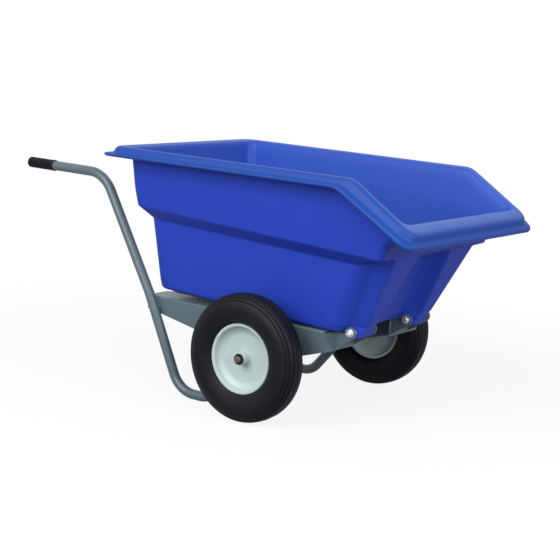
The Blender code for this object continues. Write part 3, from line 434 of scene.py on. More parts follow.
# Rails: blue-grey painted sheet steel, folded into a channel that opens downwards. Its webs are
# deepest at the axle. A flat sheet is cut at the axle, its edges folded down and thickened.

RAIL_TOP = 0.307
RAIL_OUTER = 0.2687
RAIL_INNER = 0.165
RAIL_REAR = -0.487
RAIL_FRONT = 0.214
WEB_LOW_AT_AXLE = 0.172
WEB_LOW_REAR = 0.262
WEB_LOW_FRONT = 0.2405
SHEET = 0.004
SHEET_EDGE = 0.0006
FOLD_RADIUS = 0.006
NEAR = 0.001

frame_paint, shader, place = finish("frame_paint", Coat_Roughness=0.12, Specular_IOR_Level=0.34)
cloud = place.noise(5.0, 3.0)
peel = place.noise(480.0, 2.0, 0.6)
speck = place.noise(90.0, 6.0, 0.75).between(0.62, 0.74)
feed(shader,
     Base_Color=(cloud * 0.5 + speck * 0.4).mix((0.115, 0.159, 0.176, 1.0),
                                                (0.086, 0.121, 0.134, 1.0)),
     Roughness=0.30 + cloud * 0.08 + speck * 0.15,
     Coat_Weight=0.30 - speck * 0.2,
     Normal=(peel * 0.8 + speck * 0.3).bump(0.0002, 0.45))


def choose(piece, test):
    """Select the vertices that pass a test, in edit mode."""
    bpy.ops.object.mode_set(mode="OBJECT")
    for polygon in piece.data.polygons:
        polygon.select = False
    for edge in piece.data.edges:
        edge.select = False
    for vertex in piece.data.vertices:
        vertex.select = test(vertex.co)
    bpy.ops.object.mode_set(mode="EDIT")
    bpy.ops.mesh.select_mode(type="EDGE")
    bpy.ops.mesh.select_mode(type="VERT")


def apply_modifiers(piece):
    """Apply every modifier of a piece in order."""
    alone(piece)
    for modifier in list(piece.modifiers):
        bpy.ops.object.modifier_apply(modifier=modifier.name)


def bevelled(piece, width, segments, angle):
    """Round every sharp edge of a piece."""
    bevel = piece.modifiers.new("edges", "BEVEL")
    bevel.width = width
    bevel.segments = segments
    bevel.limit_method = "ANGLE"
    bevel.angle_limit = math.radians(angle)
    bevel.harden_normals = False
    apply_modifiers(piece)
    return piece


def folded(sheet):
    """Round the folds of a bent sheet, give it its thickness and dull its cut edges."""
    fold = sheet.modifiers.new("fold", "BEVEL")
    fold.width = FOLD_RADIUS
    fold.segments = 5
    fold.limit_method = "ANGLE"
    fold.angle_limit = math.radians(60.0)
    wall = sheet.modifiers.new("wall", "SOLIDIFY")
    wall.thickness = SHEET
    wall.offset = -1.0
    apply_modifiers(sheet)
    bevelled(sheet, SHEET_EDGE, 2, 60.0)


def web_bottom(x):
    """Height of a rail's lower edge."""
    if x < 0.0:
        return WEB_LOW_AT_AXLE + (WEB_LOW_REAR - WEB_LOW_AT_AXLE) * x / RAIL_REAR
    return WEB_LOW_AT_AXLE + (WEB_LOW_FRONT - WEB_LOW_AT_AXLE) * x / RAIL_FRONT


for name, side in SIDES.items():
    rail = started("side_rail_" + name, bpy.ops.mesh.primitive_plane_add, size=1.0)
    middle = side * (RAIL_OUTER + RAIL_INNER) / 2
    for vertex in rail.data.vertices:
        vertex.co.x = RAIL_REAR if vertex.co.x < 0 else RAIL_FRONT
        vertex.co.y = middle + (RAIL_OUTER - RAIL_INNER) / 2 * (1 if vertex.co.y > 0 else -1)
        vertex.co.z = RAIL_TOP
    bpy.ops.object.mode_set(mode="EDIT")
    bpy.ops.mesh.select_all(action="SELECT")
    bpy.ops.mesh.bisect(plane_co=(0.0, 0.0, 0.0), plane_no=(1.0, 0.0, 0.0))
    for edge_y in (RAIL_INNER, RAIL_OUTER):
        choose(rail, lambda co: abs(abs(co.y) - edge_y) < NEAR and co.z > RAIL_TOP - NEAR)
        drop = (0.0, 0.0, WEB_LOW_AT_AXLE - RAIL_TOP)
        bpy.ops.mesh.extrude_region_move(TRANSFORM_OT_translate={"value": drop})
    bpy.ops.object.mode_set(mode="OBJECT")
    for vertex in rail.data.vertices:
        if vertex.co.z < RAIL_TOP - NEAR:
            vertex.co.z = web_bottom(vertex.co.x)
    bpy.ops.object.mode_set(mode="EDIT")
    closed_up()
    folded(rail)
    dress(rail, frame_paint, "frame", ["rail_" + name])

# Cross channel: the same sheet steel folded the same way, set between the rails' rear ends and
# welded to them, so that it carries the frame between the two handle tubes.

CHANNEL_REAR = -0.478
CHANNEL_FRONT = -0.305
CHANNEL_HALF = 0.1647
CHANNEL_DEPTH = 0.040

channel = started("cross_member", bpy.ops.mesh.primitive_plane_add, size=1.0)
for vertex in channel.data.vertices:
    vertex.co.x = CHANNEL_REAR if vertex.co.x < 0 else CHANNEL_FRONT
    vertex.co.y = CHANNEL_HALF if vertex.co.y > 0 else -CHANNEL_HALF
    vertex.co.z = RAIL_TOP
for edge_x in (CHANNEL_REAR, CHANNEL_FRONT):
    choose(channel, lambda co: abs(co.x - edge_x) < NEAR and co.z > RAIL_TOP - NEAR)
    drop = (0.0, 0.0, -CHANNEL_DEPTH)
    bpy.ops.mesh.extrude_region_move(TRANSFORM_OT_translate={"value": drop})
closed_up()
folded(channel)
dress(channel, frame_paint, "frame", ["cross_channel"])

# Axle beam, rest bar and pivot sleeves: a round tube, a square one and two short sleeves, all of
# steel and hidden under the tub or in its feet, so they keep their solids. The first two are
# painted with the frame, and the sleeves are zinc plated.

zinc, shader, place = finish("zinc_plate", Specular_IOR_Level=0.5)
spangle = place.noise(180.0, 2.0)
marks = place.stretched((30.0, 1.0, 30.0)).noise(60.0, 2.0)
feed(shader,
     Base_Color=spangle.mix((0.800, 0.820, 0.840, 1.0), (0.920, 0.930, 0.940, 1.0)),
     Metallic=0.80 - spangle * 0.1,
     Roughness=0.22 + marks * 0.14,
     Normal=marks.bump(0.0001, 0.4))

for node in ("axle_beam", "rest_bar"):
    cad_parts[node].material_slots[0].material = frame_paint
for name in SIDES:
    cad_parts["pivot_sleeve_" + name].material_slots[0].material = zinc

# Weld beads: rippled steel fillets, painted with the frame, where the axle beam, the rest bar,
# the cross channel and the handle tubes meet the rails. A straight one is a rod, cut across at
# close steps and swollen in ripples.

BEAD_PITCH = 0.0045
CUTS_PER_RIPPLE = 4
BEAM_WELD_RADIUS = 0.0192
BEAM_WELD_SIZE = 0.0026
BEAM_WELD_Y = 0.1638
BEAM_WELD_RIPPLES = 26
REST_BAR_EDGES = (("rear", -0.2526), ("front", -0.2274))
REST_WELD_Y = (0.170, 0.189)
REST_WELD_Z = 0.3080
REST_WELD_SIZE = 0.0022
CHANNEL_WELD_X = (-0.460, -0.323)
CHANNEL_WELD_Y = 0.1648
CHANNEL_WELD_Z = 0.3068
CHANNEL_WELD_SIZE = 0.0018
LEG_WELD_Y = 0.2706
LEG_WELD_TOP = (-0.4648, 0.3035)
LEG_WELD_LOW = (-0.4455, 0.2640)
LEG_WELD_SIZE = 0.0030
LEG_SIDES = (("rear", -0.0125), ("front", 0.0125))
ACROSS_LEG = Vector((0.898, 0.0, 0.440))


def weld_line(name, start, end, size):
    """Straight weld: a chain of overlapping ripples from start to end."""
    end_size, end_slope, ripple = 0.45, 12.0, 0.18
    start, end = Vector(start), Vector(end)
    run = end - start
    ripples = max(4, round(run.length / BEAD_PITCH))
    cuts = ripples * CUTS_PER_RIPPLE
    bead = started(name, bpy.ops.mesh.primitive_cylinder_add, vertices=12, radius=size,
                   depth=run.length, location=(start + end) / 2,
                   rotation=run.to_track_quat("Z", "Y").to_euler())
    bpy.ops.object.mode_set(mode="EDIT")
    for cut in range(1, cuts):
        bpy.ops.mesh.select_all(action="SELECT")
        bpy.ops.mesh.bisect(plane_co=start + run * cut / cuts, plane_no=run)
    bpy.ops.object.mode_set(mode="OBJECT")
    for vertex in bead.data.vertices:
        share = (vertex.co - start).dot(run) / run.length_squared
        core = start + run * share
        ends = min(1.0, end_size + end_slope * min(share, 1.0 - share))
        swell = ends * (1.0 + ripple * math.sin(share * ripples * math.tau))
        vertex.co = core + (vertex.co - core) * swell
    return bead


for name, side in SIDES.items():
    ring = weld_ring("beam_weld_" + name, BEAM_WELD_RADIUS, BEAM_WELD_SIZE,
                     (0.0, side * BEAM_WELD_Y, AXLE_Z), side, BEAM_WELD_RIPPLES)
    dress(ring, frame_paint, "frame")
    for end_name, x in REST_BAR_EDGES:
        start, end = ((x, side * y, REST_WELD_Z) for y in REST_WELD_Y)
        bead = weld_line("rest_weld_" + end_name + "_" + name, start, end, REST_WELD_SIZE)
        dress(bead, frame_paint, "frame")
    start, end = ((x, side * CHANNEL_WELD_Y, CHANNEL_WELD_Z) for x in CHANNEL_WELD_X)
    bead = weld_line("channel_weld_" + name, start, end, CHANNEL_WELD_SIZE)
    dress(bead, frame_paint, "frame")
    for end_name, shift in LEG_SIDES:
        start, end = (Vector((x, side * LEG_WELD_Y, z)) + ACROSS_LEG * shift
                      for x, z in (LEG_WELD_TOP, LEG_WELD_LOW))
        bead = weld_line("leg_weld_" + end_name + "_" + name, start, end, LEG_WELD_SIZE)
        dress(bead, frame_paint, "frame")

# Clevises: a flat end plate across each rail's front with an outer and an inner ear, cut from
# 6 mm plate. An ear is its outline drawn as a disc, pushed out to the plate's thickness.

PIVOT = Vector((0.2775, 0.0, 0.305))
EAR_OUTER = 0.221
EAR_INNER = 0.100
PLATE = 0.006
CLEVIS_REAR = 0.2143
CLEVIS_TOP = 0.3005
CLEVIS_BOTTOM = 0.2405
CLEVIS_LAP = 0.0002
EAR_RADIUS = 0.0185
EAR_WELD_SIZE = 0.0028
PLATE_EDGE = 0.0007
BOLT_HOLE = 0.0063
THROUGH = 0.1


def cut_plate(name, outline, low_y, high_y):
    """Flat plate of an X-Z outline between two values of Y."""
    piece = started(name, bpy.ops.mesh.primitive_circle_add, vertices=len(outline), radius=0.1,
                    fill_type="NGON")
    for vertex, (x, z) in zip(piece.data.vertices, outline):
        vertex.co = (x, low_y, z)
    bpy.ops.object.mode_set(mode="EDIT")
    bpy.ops.mesh.select_all(action="SELECT")
    bpy.ops.mesh.extrude_region_move(TRANSFORM_OT_translate={"value": (0.0, high_y - low_y, 0.0)})
    closed_up()
    return piece


def arc(centre_x, centre_z, radius, start, end, steps):
    """Points of an arc in a plane, such as X-Z, its angles in degrees."""
    turns = [math.radians(start + (end - start) * i / steps) for i in range(steps + 1)]
    return [(centre_x + radius * math.cos(turn), centre_z + radius * math.sin(turn))
            for turn in turns]


def cut_with(piece, cutter, operation="DIFFERENCE"):
    """Boolean of a piece with another, which is used up."""
    join = piece.modifiers.new("join", "BOOLEAN")
    join.operation = operation
    join.object = cutter
    join.solver = "EXACT"
    apply_modifiers(piece)
    bpy.data.objects.remove(cutter)
    return piece


def round_bar(name, radius, low_y, high_y, x, z, sides=48):
    """Plain round or many-sided bar along Y."""
    return started(name, bpy.ops.mesh.primitive_cylinder_add, vertices=sides, radius=radius,
                   depth=high_y - low_y, location=(x, (low_y + high_y) / 2, z),
                   rotation=(math.radians(90.0), 0.0, 0.0))


ear_rise = math.degrees(math.asin((CLEVIS_TOP - PIVOT.z) / EAR_RADIUS))
ear_low = Vector((CLEVIS_REAR, CLEVIS_BOTTOM))
ear_reach = Vector((PIVOT.x, PIVOT.z)) - ear_low
ear_tangent = (math.degrees(math.atan2(ear_reach.y, ear_reach.x))
               - math.degrees(math.asin(EAR_RADIUS / ear_reach.length)) - 90.0)
ear_line = [(CLEVIS_REAR, CLEVIS_TOP)]
ear_line += arc(PIVOT.x, PIVOT.z, EAR_RADIUS, 180.0 - ear_rise, ear_tangent, 36)
ear_line.append(tuple(ear_low))
plate_low, plate_high = CLEVIS_BOTTOM - CLEVIS_LAP, CLEVIS_TOP + CLEVIS_LAP
plate_line = [(CLEVIS_REAR, plate_low), (CLEVIS_REAR + PLATE, plate_low),
              (CLEVIS_REAR + PLATE, plate_high), (CLEVIS_REAR, plate_high)]
for name, side in SIDES.items():
    near, far = sorted((side * EAR_INNER, side * RAIL_OUTER))
    bracket = cut_plate("clevis_bracket_" + name, plate_line, near, far)
    for ear_y in (EAR_OUTER - PLATE, EAR_INNER):
        low, high = sorted((side * ear_y, side * (ear_y + PLATE)))
        cut_with(bracket, cut_plate("ear", ear_line, low, high), "UNION")
    cut_with(bracket, round_bar("bolt_hole", BOLT_HOLE, near - THROUGH, far + THROUGH, PIVOT.x,
                                PIVOT.z))
    bevelled(bracket, PLATE_EDGE, 2, 40.0)
    dress(bracket, frame_paint, "frame", ["clevis_" + name])
    for ear_name, ear_y in (("outer", EAR_OUTER), ("inner", EAR_INNER)):
        bead = weld_line("ear_weld_" + ear_name + "_" + name,
                         (CLEVIS_REAR + PLATE, side * ear_y, CLEVIS_BOTTOM + 0.006),
                         (CLEVIS_REAR + PLATE, side * ear_y, CLEVIS_TOP - 0.004), EAR_WELD_SIZE)
        dress(bead, frame_paint, "frame")

# Pivot bolts: zinc-plated hexagon bolts, each with a nut and two washers. Heads and nuts are
# six-sided bars whose corners are turned off to a cone.

ACROSS_FLATS = 0.019
CONE_DEPTH = 0.0028
NUT_EDGE = 0.00025
BOLT_RADIUS = 0.0060
THREAD_ROOT = 0.0054
THREAD_PITCH = 0.0012
THREAD_TIP = 0.0050
SHANK_START = 0.0920
THREAD_START = 0.2196
BOLT_END = 0.2368
RING_RADIUS = 0.0125
NUT_Y = (0.2236, 0.2321)
HEAD_Y = (0.0899, 0.0974)
RINGS = (("outer", (0.2213, 0.2233)), ("inner", (0.0977, 0.0997)))


def hexagon(name, low_y, high_y, across, bore=0.0):
    """Hexagon round the pivot, with its corners turned off at both ends."""
    corner = across / math.sqrt(3.0)
    bar = round_bar(name, corner, low_y, high_y, PIVOT.x, PIVOT.z, 6)
    deep = (high_y - low_y) / 2
    half = [(corner + 0.001, deep - CONE_DEPTH), (across * 0.45, deep + 0.0002),
            (0.0, deep + 0.001)]
    lathe = turned_piece("lathe", [(radius, -y) for radius, y in reversed(half)] + half,
                         (PIVOT.x, (low_y + high_y) / 2, PIVOT.z), 1, 48)
    cut_with(bar, lathe, "INTERSECT")
    if bore:
        cut_with(bar, round_bar("bore", bore, low_y - 0.01, high_y + 0.01, PIVOT.x, PIVOT.z))
    return bevelled(bar, NUT_EDGE, 1, 30.0)


def pivot_ring(name, low_y, high_y):
    """Washer on a pivot bolt."""
    middle = (low_y + high_y) / 2
    half = (high_y - low_y) / 2
    return turned_piece(name, sleeve_section(BOLT_HOLE, RING_RADIUS, (-half, half),
                                             {1: 0.0006, 2: 0.0006}),
                        (PIVOT.x, middle, PIVOT.z), 1, RING_STEPS)


shank = [(0.0, SHANK_START), (BOLT_RADIUS, SHANK_START), (BOLT_RADIUS, THREAD_START)]
for turn in range(int((BOLT_END - 0.0010 - THREAD_START) / THREAD_PITCH)):
    shank += [(THREAD_ROOT, THREAD_START + THREAD_PITCH * (turn + 0.5)),
              (BOLT_RADIUS, THREAD_START + THREAD_PITCH * (turn + 1))]
shank += [(THREAD_TIP, BOLT_END), (0.0, BOLT_END)]
for name, side in SIDES.items():
    for ring_name, faces in RINGS:
        washer = pivot_ring("pivot_ring_" + ring_name + "_" + name,
                            *sorted(side * y for y in faces))
        dress(washer, zinc, "frame", ["pivot_washer_" + ring_name + "_" + name])
    nut = hexagon("hex_nut_" + name, *sorted(side * y for y in NUT_Y), ACROSS_FLATS, BOLT_HOLE)
    dress(nut, zinc, "frame", ["pivot_nut_" + name], 20.0)
    bolt = hexagon("hex_bolt_" + name, *sorted(side * y for y in HEAD_Y), ACROSS_FLATS)
    cut_with(bolt, turned_piece("shank", shank, PIVOT, side, 32), "UNION")
    dress(bolt, zinc, "frame", ["pivot_bolt_" + name], 20.0)

# Handle tubes: one 32 mm steel tube on each side, bent into handle, leg, level foot and the strut
# back up to the axle, painted with the frame. A round bar is swept along the bent centre line.

TUBE_RADIUS = 0.016
TUBE_WALL = 0.0025
TUBE_Y = 0.285
HANDLE_END = -1.029
HANDLE_HEIGHT = 0.684
HANDLE_BEND = -0.689
LEG_POINT = (-0.470, 0.318)
LEG_SLOPE = math.radians(63.9)
FOOT_LENGTH = 0.1245
STRUT_SLOPE = math.radians(50.3)
BEND_RADII = (0.112, 0.25, 0.095, 0.074)
BORE_DEPTH = 0.12


def bent_line(corners, radii, steps=14):
    """Centre line through X-Z corners, each bent to its radius."""
    line = [Vector(corners[0])]
    for before, corner, after, radius in zip(corners, corners[1:], corners[2:], radii):
        corner = Vector(corner)
        back = (Vector(before) - corner).normalized()
        ahead = (Vector(after) - corner).normalized()
        turn = math.pi - back.angle(ahead)
        centre = corner + (back + ahead).normalized() * radius / math.cos(turn / 2)
        start = corner + back * radius * math.tan(turn / 2) - centre
        sense = 1.0 if back.cross(ahead) < 0 else -1.0
        for step in range(steps + 1):
            line.append(centre + Matrix.Rotation(sense * turn * step / steps, 2) @ start)
    return line + [Vector(corners[-1])]


foot_rear = LEG_POINT[0] + (LEG_POINT[1] - TUBE_RADIUS) / math.tan(LEG_SLOPE)
foot_front = foot_rear + FOOT_LENGTH
strut_end = foot_front + (AXLE_Z - TUBE_RADIUS) / math.tan(STRUT_SLOPE)
tube_line = bent_line([(HANDLE_END, HANDLE_HEIGHT), (HANDLE_BEND, HANDLE_HEIGHT), LEG_POINT,
                       (foot_rear, TUBE_RADIUS), (foot_front, TUBE_RADIUS),
                       (strut_end, AXLE_Z)], BEND_RADII)
strut_tip = tube_line[-1]
strut_run = (tube_line[-2] - strut_tip).normalized()
bore_line = [strut_tip + strut_run * BORE_DEPTH, strut_tip - strut_run * 0.02]
for name, side in SIDES.items():
    handle = wire("bent_handle_" + name, [(p.x, side * TUBE_Y, p.y) for p in tube_line],
                  TUBE_RADIUS, rings=14)
    cut_with(handle, wire("tube_bore", [(p.x, side * TUBE_Y, p.y) for p in bore_line],
                          TUBE_RADIUS - TUBE_WALL, rings=8))
    dress(handle, frame_paint, "frame", ["handle_tube_" + name], 50.0)

# Grips: black soft plastic sleeves pushed on the handle ends, with a rounded closed end and a
# thicker mouth. A closed section is spun and turned to lie along the tube.

soft_plastic, shader, place = finish("grip_plastic", Specular_IOR_Level=0.12)
leather = place.node("TexVoronoi", {}, {"Vector": place, "Scale": 900.0}, 0)
wear = place.noise(30.0, 4.0).between(0.5, 0.7)
feed(shader,
     Base_Color=(wear * 0.6).mix((0.0050, 0.0056, 0.0090, 1.0), (0.011, 0.012, 0.016, 1.0)),
     Roughness=0.46 + wear * 0.12,
     Normal=leather.bump(0.0002, 0.5))

GRIP_BORE = 0.0163
GRIP_RADIUS = 0.0181
GRIP_LENGTH = 0.1130
MOUTH_RADIUS = 0.0190
grip_line = [(GRIP_BORE, -GRIP_LENGTH), (GRIP_BORE, 0.0003), (0.0, 0.0003), (0.0, 0.0043),
             (0.0135, 0.0043), (0.0172, 0.0020), (GRIP_RADIUS, -0.0030), (GRIP_RADIUS, -0.1070),
             (MOUTH_RADIUS, -0.1085), (MOUTH_RADIUS, -GRIP_LENGTH)]
grip_edges = {4: 0.0030, 5: 0.0020, 6: 0.0025, 7: 0.0008, 8: 0.0008, 9: 0.0006}
right_grip = turned_piece("hand_grip_right", softened(grip_line, grip_edges, closed=True),
                          (0.0, 0.0, 0.0), 1, 48)
right_grip.data.transform(Matrix.Translation((HANDLE_END, -TUBE_Y, HANDLE_HEIGHT))
                          @ Matrix.Rotation(math.radians(90.0), 4, "Z"))
left_grip = bpy.data.objects.new("hand_grip_left", right_grip.data.copy())
left_grip.data.transform(Matrix.Translation((0.0, 2 * TUBE_Y, 0.0)))
bpy.context.collection.objects.link(left_grip)
dress(right_grip, soft_plastic, "frame", ["grip_right"], 40.0)
dress(left_grip, soft_plastic, "frame", ["grip_left"], 40.0)

# Tub: one hollow moulding of blue plastic with a rolled rim, a ledge round its sides, a sloped
# pouring lip and two pads down its front that end in the pivot feet. It is a skin lofted through
# level outlines, up the outside, over the rim and down the inside, its edges rounded.

TUB_WALL = 0.005
TUB_FLOOR_Z = 0.3156
FRONT_WALL_X = 0.3091
FRONT_SLOPE = 0.483
RECESS = 0.047
LEDGE_LEAN = 0.0025
LEDGE_INSET = 0.00575
CREST = {"z": 0.789, "rear": -0.584, "knee": 0.332, "lip_x": 0.541, "lip_z": 0.656, "half": 0.346}
KNEE_REACH = 0.020
LIP_ANGLE = math.atan2(CREST["z"] - CREST["lip_z"], CREST["lip_x"] - CREST["knee"])
PADS_LEDGE = (0.074, 0.094, 0.237)
SIDE_SHARES = (0.07, 0.16, 0.178, 0.196, 0.214, 0.232, 0.25, 0.50, 0.75)
ARC_STEPS = 8


def tub_outline(rear, front, half, radii, pad_front, pads, turn, knee=None):
    """Level outline, from the front's middle round one side to the rear's middle and back.

    Pads are the Y of the recess's foot, of the pad's inner edge and of its outer edge. Turn is
    where on the front corner's arc, in degrees, the pad's side ends. A knee is the X of the rim's
    bend, round which the points come closer together.
    """
    foot, edge, outer = pads
    front_radius, rear_radius = radii
    front_x = front - front_radius
    corner = arc(front_x, half - front_radius, front_radius, turn, 90.0, ARC_STEPS)
    points = [(front, 0.0), (front, foot), (pad_front, edge), (pad_front, outer)]
    if pad_front > front + MERGE_DISTANCE:
        last = Vector(points[-1])
        points += [tuple(last.lerp(Vector(corner[0]), i / 4)) for i in range(1, 4)]
    else:
        lead = arc(front_x, half - front_radius, front_radius, 0.0, turn, ARC_STEPS)
        points += [lead[0], lead[3], lead[6]]
    points += corner
    rear_x = rear + rear_radius
    if knee is None:
        stations = [front_x + (rear_x - front_x) * share for share in SIDE_SHARES]
    else:
        behind = knee - KNEE_REACH
        stations = [(front_x + knee + KNEE_REACH) / 2]
        stations += [knee + KNEE_REACH * (1.0 - 0.4 * i) for i in range(6)]
        stations += [behind + (rear_x - behind) / 3, behind + (rear_x - behind) * 2 / 3]
    points += [(x, half) for x in stations]
    points += arc(rear_x, half - rear_radius, rear_radius, 90.0, 180.0, ARC_STEPS)
    points.append((rear, 0.0))
    return points + [(x, -y) for x, y in reversed(points[1:-1])]


def moved_in(points, distance):
    """Closed outline moved inwards by a distance, square to its edges."""
    moved = []
    for i, here in enumerate(points):
        here = Vector(here)
        first = (here - Vector(points[i - 1])).normalized()
        second = (Vector(points[(i + 1) % len(points)]) - here).normalized()
        first, second = Vector((first.y, -first.x)), Vector((second.y, -second.x))
        moved.append(here - (first + second) / (1.0 + first.dot(second)) * distance)
    return moved


def lifted(points, height, fall):
    """Outline on a plane that falls towards the front."""
    return [Vector((x, y, height - fall * x)) for x, y in points]


def rim_row(outward, up, front_inset, rear_inset, front_drop, radius, knee_shift):
    """Outline along the rim, moved out and up from its crest, with its bend at the knee.

    At the lip it stands in and down by the front values, square to the lip's slope, and at the
    rear it stands in by the rear one. Radius is that of its corners seen from above.
    """
    out_front = outward - front_inset
    up_front = up - front_drop
    front_x = CREST["lip_x"] + out_front * math.cos(LIP_ANGLE) + up_front * math.sin(LIP_ANGLE)
    front_z = CREST["lip_z"] - out_front * math.sin(LIP_ANGLE) + up_front * math.cos(LIP_ANGLE)
    knee = CREST["knee"] - knee_shift
    top = CREST["z"] + up
    fall = (top - front_z) / (front_x - knee)
    row = []
    for x, y in tub_outline(CREST["rear"] - outward + rear_inset, front_x, CREST["half"] + outward,
                            (radius, radius), front_x, PADS_LEDGE, 45.0, knee):
        run = x - knee
        if abs(run) < KNEE_REACH:
            run = (run + KNEE_REACH) ** 2 / (4 * KNEE_REACH)
        row.append(Vector((x, y, top - fall * max(run, 0.0))))
    return row


def tub_level(rear, half, radii, front_at, height, fall, depth, pads, turn):
    """Outline of the tub's wall, with its height at X = 0 and its fall.

    Front_at is the X at which the height of the front wall is taken, and depth is how far the
    wall between the pads stands back from them.
    """
    face = FRONT_WALL_X + (height - fall * front_at - TUB_FLOOR_Z) * FRONT_SLOPE
    return tub_outline(rear, face - depth, half, radii, face, pads, turn), height, fall


def ledge_row(inset, rise):
    """Lower edge of the ledge, which rises round each front corner to end on the pad's edge."""
    row = lifted(moved_in(low[0], inset), low[1] + rise, low[2])
    tops = lifted(moved_in(high[0], inset), high[1] + rise, high[2])
    shares = {3: 0.92, 4: 0.75, 5: 0.58, 6: 0.42}
    shares.update({7 + i: 0.28 * (1.0 - i / ARC_STEPS) ** 1.8 for i in range(ARC_STEPS)})
    for i, share in shares.items():
        for j in (i, len(row) - i):
            up = (tops[j].z - row[j].z) * share
            row[j] += Vector((up * FRONT_SLOPE, 0.0, up))
    return row


def fillet_rows(radius, wall, turns):
    """Rows round the edge of the floor, each moved in and up."""
    rows = []
    for turn in turns:
        inset = wall + radius * (1.0 - math.sin(math.radians(turn)))
        rise = wall + radius * (1.0 - math.cos(math.radians(turn)))
        rows.append(lifted(moved_in(floor[0], inset), TUB_FLOOR_Z + rise, floor[2]))
    return rows


# Levels up the outside: the floor's edge, the wall just above its fillet, the ledge's lower and
# upper edges, and the wall under the rim. Then the rim, from under its flange, over the bead and
# the crest, to the inside.
floor = tub_level(-0.4665, 0.262, (0.050, 0.050), 0.25, TUB_FLOOR_Z, 0.037, RECESS,
                  (0.108, 0.1326, 0.181), 2.0)
clear = tub_level(-0.4702, 0.2645, (0.052, 0.052), 0.25, 0.3441, 0.037, RECESS,
                  (0.104, 0.128, 0.188), 2.0)
low = tub_level(-0.505, 0.280, (0.062, 0.062), 0.36, 0.541, 0.041, RECESS,
                (0.080, 0.0999, 0.230), 26.0)
high = tub_level(-0.5275, 0.315, (0.018, 0.034), 0.43, 0.577, 0.046, 0.0, PADS_LEDGE, 45.0)
flare = tub_level(-0.540, 0.320, (0.028, 0.035), 0.45, 0.625, 0.055, 0.0, PADS_LEDGE, 45.0)
RIM_ROWS = ((-0.017, -0.036, -0.003, 0.012, 0.016, 0.045, 0.042),
            (0.033, -0.034, 0.002, 0.001, 0.0085, 0.034, 0.042),
            (0.0385, -0.031, 0.0025, 0.001, 0.0075, 0.036, 0.040),
            (0.040, -0.0265, 0.0025, 0.001, 0.0035, 0.037, 0.036),
            (0.037, -0.0235, 0.0025, 0.001, 0.0, 0.036, 0.032),
            (0.024, -0.0225, 0.001, -0.001, 0.0, 0.046, 0.022),
            (0.0195, -0.019, 0.001, -0.001, 0.0, 0.046, 0.018),
            (0.0165, -0.010, 0.001, 0.0, 0.0, 0.045, 0.008),
            (0.011, -0.003, 0.0, 0.0, 0.0, 0.041, 0.003),
            (0.0, 0.0, 0.0, 0.0, 0.0, 0.032, 0.0),
            (-0.009, -0.0015, 0.018, 0.010, 0.0, 0.028, 0.0),
            (-0.015, -0.0065, 0.025, 0.013, -0.003, 0.027, 0.003),
            (-0.0205, -0.016, 0.0235, 0.0115, 0.0, 0.026, 0.006),
            (-0.0235, -0.036, 0.0245, 0.0105, 0.0, 0.030, 0.012))

FILLET_RADIUS = 0.014
FILLET_TURNS = (0.0, 22.5, 45.0, 67.5, 90.0)
skin = fillet_rows(FILLET_RADIUS, 0.0, FILLET_TURNS)
skin.append(lifted(*clear))
skin.append(ledge_row(0.0, 0.0))
skin.append(lifted(*high))
skin.append(lifted(*flare))
skin += [rim_row(*row) for row in RIM_ROWS]
skin.append(lifted(moved_in(flare[0], TUB_WALL), flare[1] + LEDGE_LEAN, flare[2]))
skin.append(lifted(moved_in(high[0], LEDGE_INSET), high[1] + LEDGE_LEAN, high[2]))
skin.append(ledge_row(LEDGE_INSET, LEDGE_LEAN))
skin.append(lifted(moved_in(clear[0], TUB_WALL), clear[1], clear[2]))
skin += fillet_rows(FILLET_RADIUS - TUB_WALL, TUB_WALL, FILLET_TURNS[::-1])

# The pads' upright edges are rounded along each row, then the level edges across the rows.
count = len(skin[0])
pad_edges = {1: 0.010, 2: 0.007, 3: 0.009, 7: 0.014}
pad_edges.update({count - i: setback for i, setback in list(pad_edges.items())})
skin = [softened(row, pad_edges, closed=True, steps=5) for row in skin]
level_edges = {6: 0.005, 7: 0.005, 8: 0.020, 9: 0.004, 23: 0.020, 24: 0.010, 25: 0.006, 26: 0.006}
level_edges.update({row: 0.010 for row in range(10, 23)})
columns = [softened([row[i] for row in skin], level_edges, steps=4) for i in range(len(skin[0]))]
skin = [[column[k] for column in columns] for k in range(len(columns[0]))]

count = len(skin[0])
faces = [tuple(range(count))[::-1],
         tuple(range(count * (len(skin) - 1), count * len(skin)))]
for k in range(len(skin) - 1):
    for i in range(count):
        j = (i + 1) % count
        faces.append((k * count + i, k * count + j, (k + 1) * count + j, (k + 1) * count + i))
tub_mesh = bpy.data.meshes.new("barrow_tub")
tub_mesh.from_pydata([tuple(point) for row in skin for point in row], [], faces)

# Marks for the material, all painted light. From the flange's edge on, the rim and the inside
# carry a painted cyan tint of reflected skylight. The rim, as far as its inner slope, is painted
# darker as shade, and its crown carries a painted highlight, stronger with each row.
FLANGE_EDGE_ROW = 31
CROWN_ROW = 63
CROWN_ROWS = 10.0
INNER_SLOPE_ROW = 76
painted_skylight = tub_mesh.attributes.new("painted_skylight", "FLOAT", "POINT")
painted_rim_shade = tub_mesh.attributes.new("painted_rim_shade", "FLOAT", "POINT")
painted_crest_highlight = tub_mesh.attributes.new("painted_crest_highlight", "FLOAT", "POINT")
for i in range(FLANGE_EDGE_ROW * count, len(skin) * count):
    row = i // count
    painted_skylight.data[i].value = 1.0
    if row < INNER_SLOPE_ROW:
        painted_rim_shade.data[i].value = 1.0
    if row <= INNER_SLOPE_ROW:
        painted_crest_highlight.data[i].value = min(1.0, max(0.0, (row - CROWN_ROW) / CROWN_ROWS))
barrow_tub = bpy.data.objects.new("barrow_tub", tub_mesh)
bpy.context.collection.objects.link(barrow_tub)

# Pivot feet: solid lugs of the same plastic, moulded at the pads' lower ends. Each is round about
# the bolt and as wide as the gap between the clevis ears, and narrows forwards to its pad.

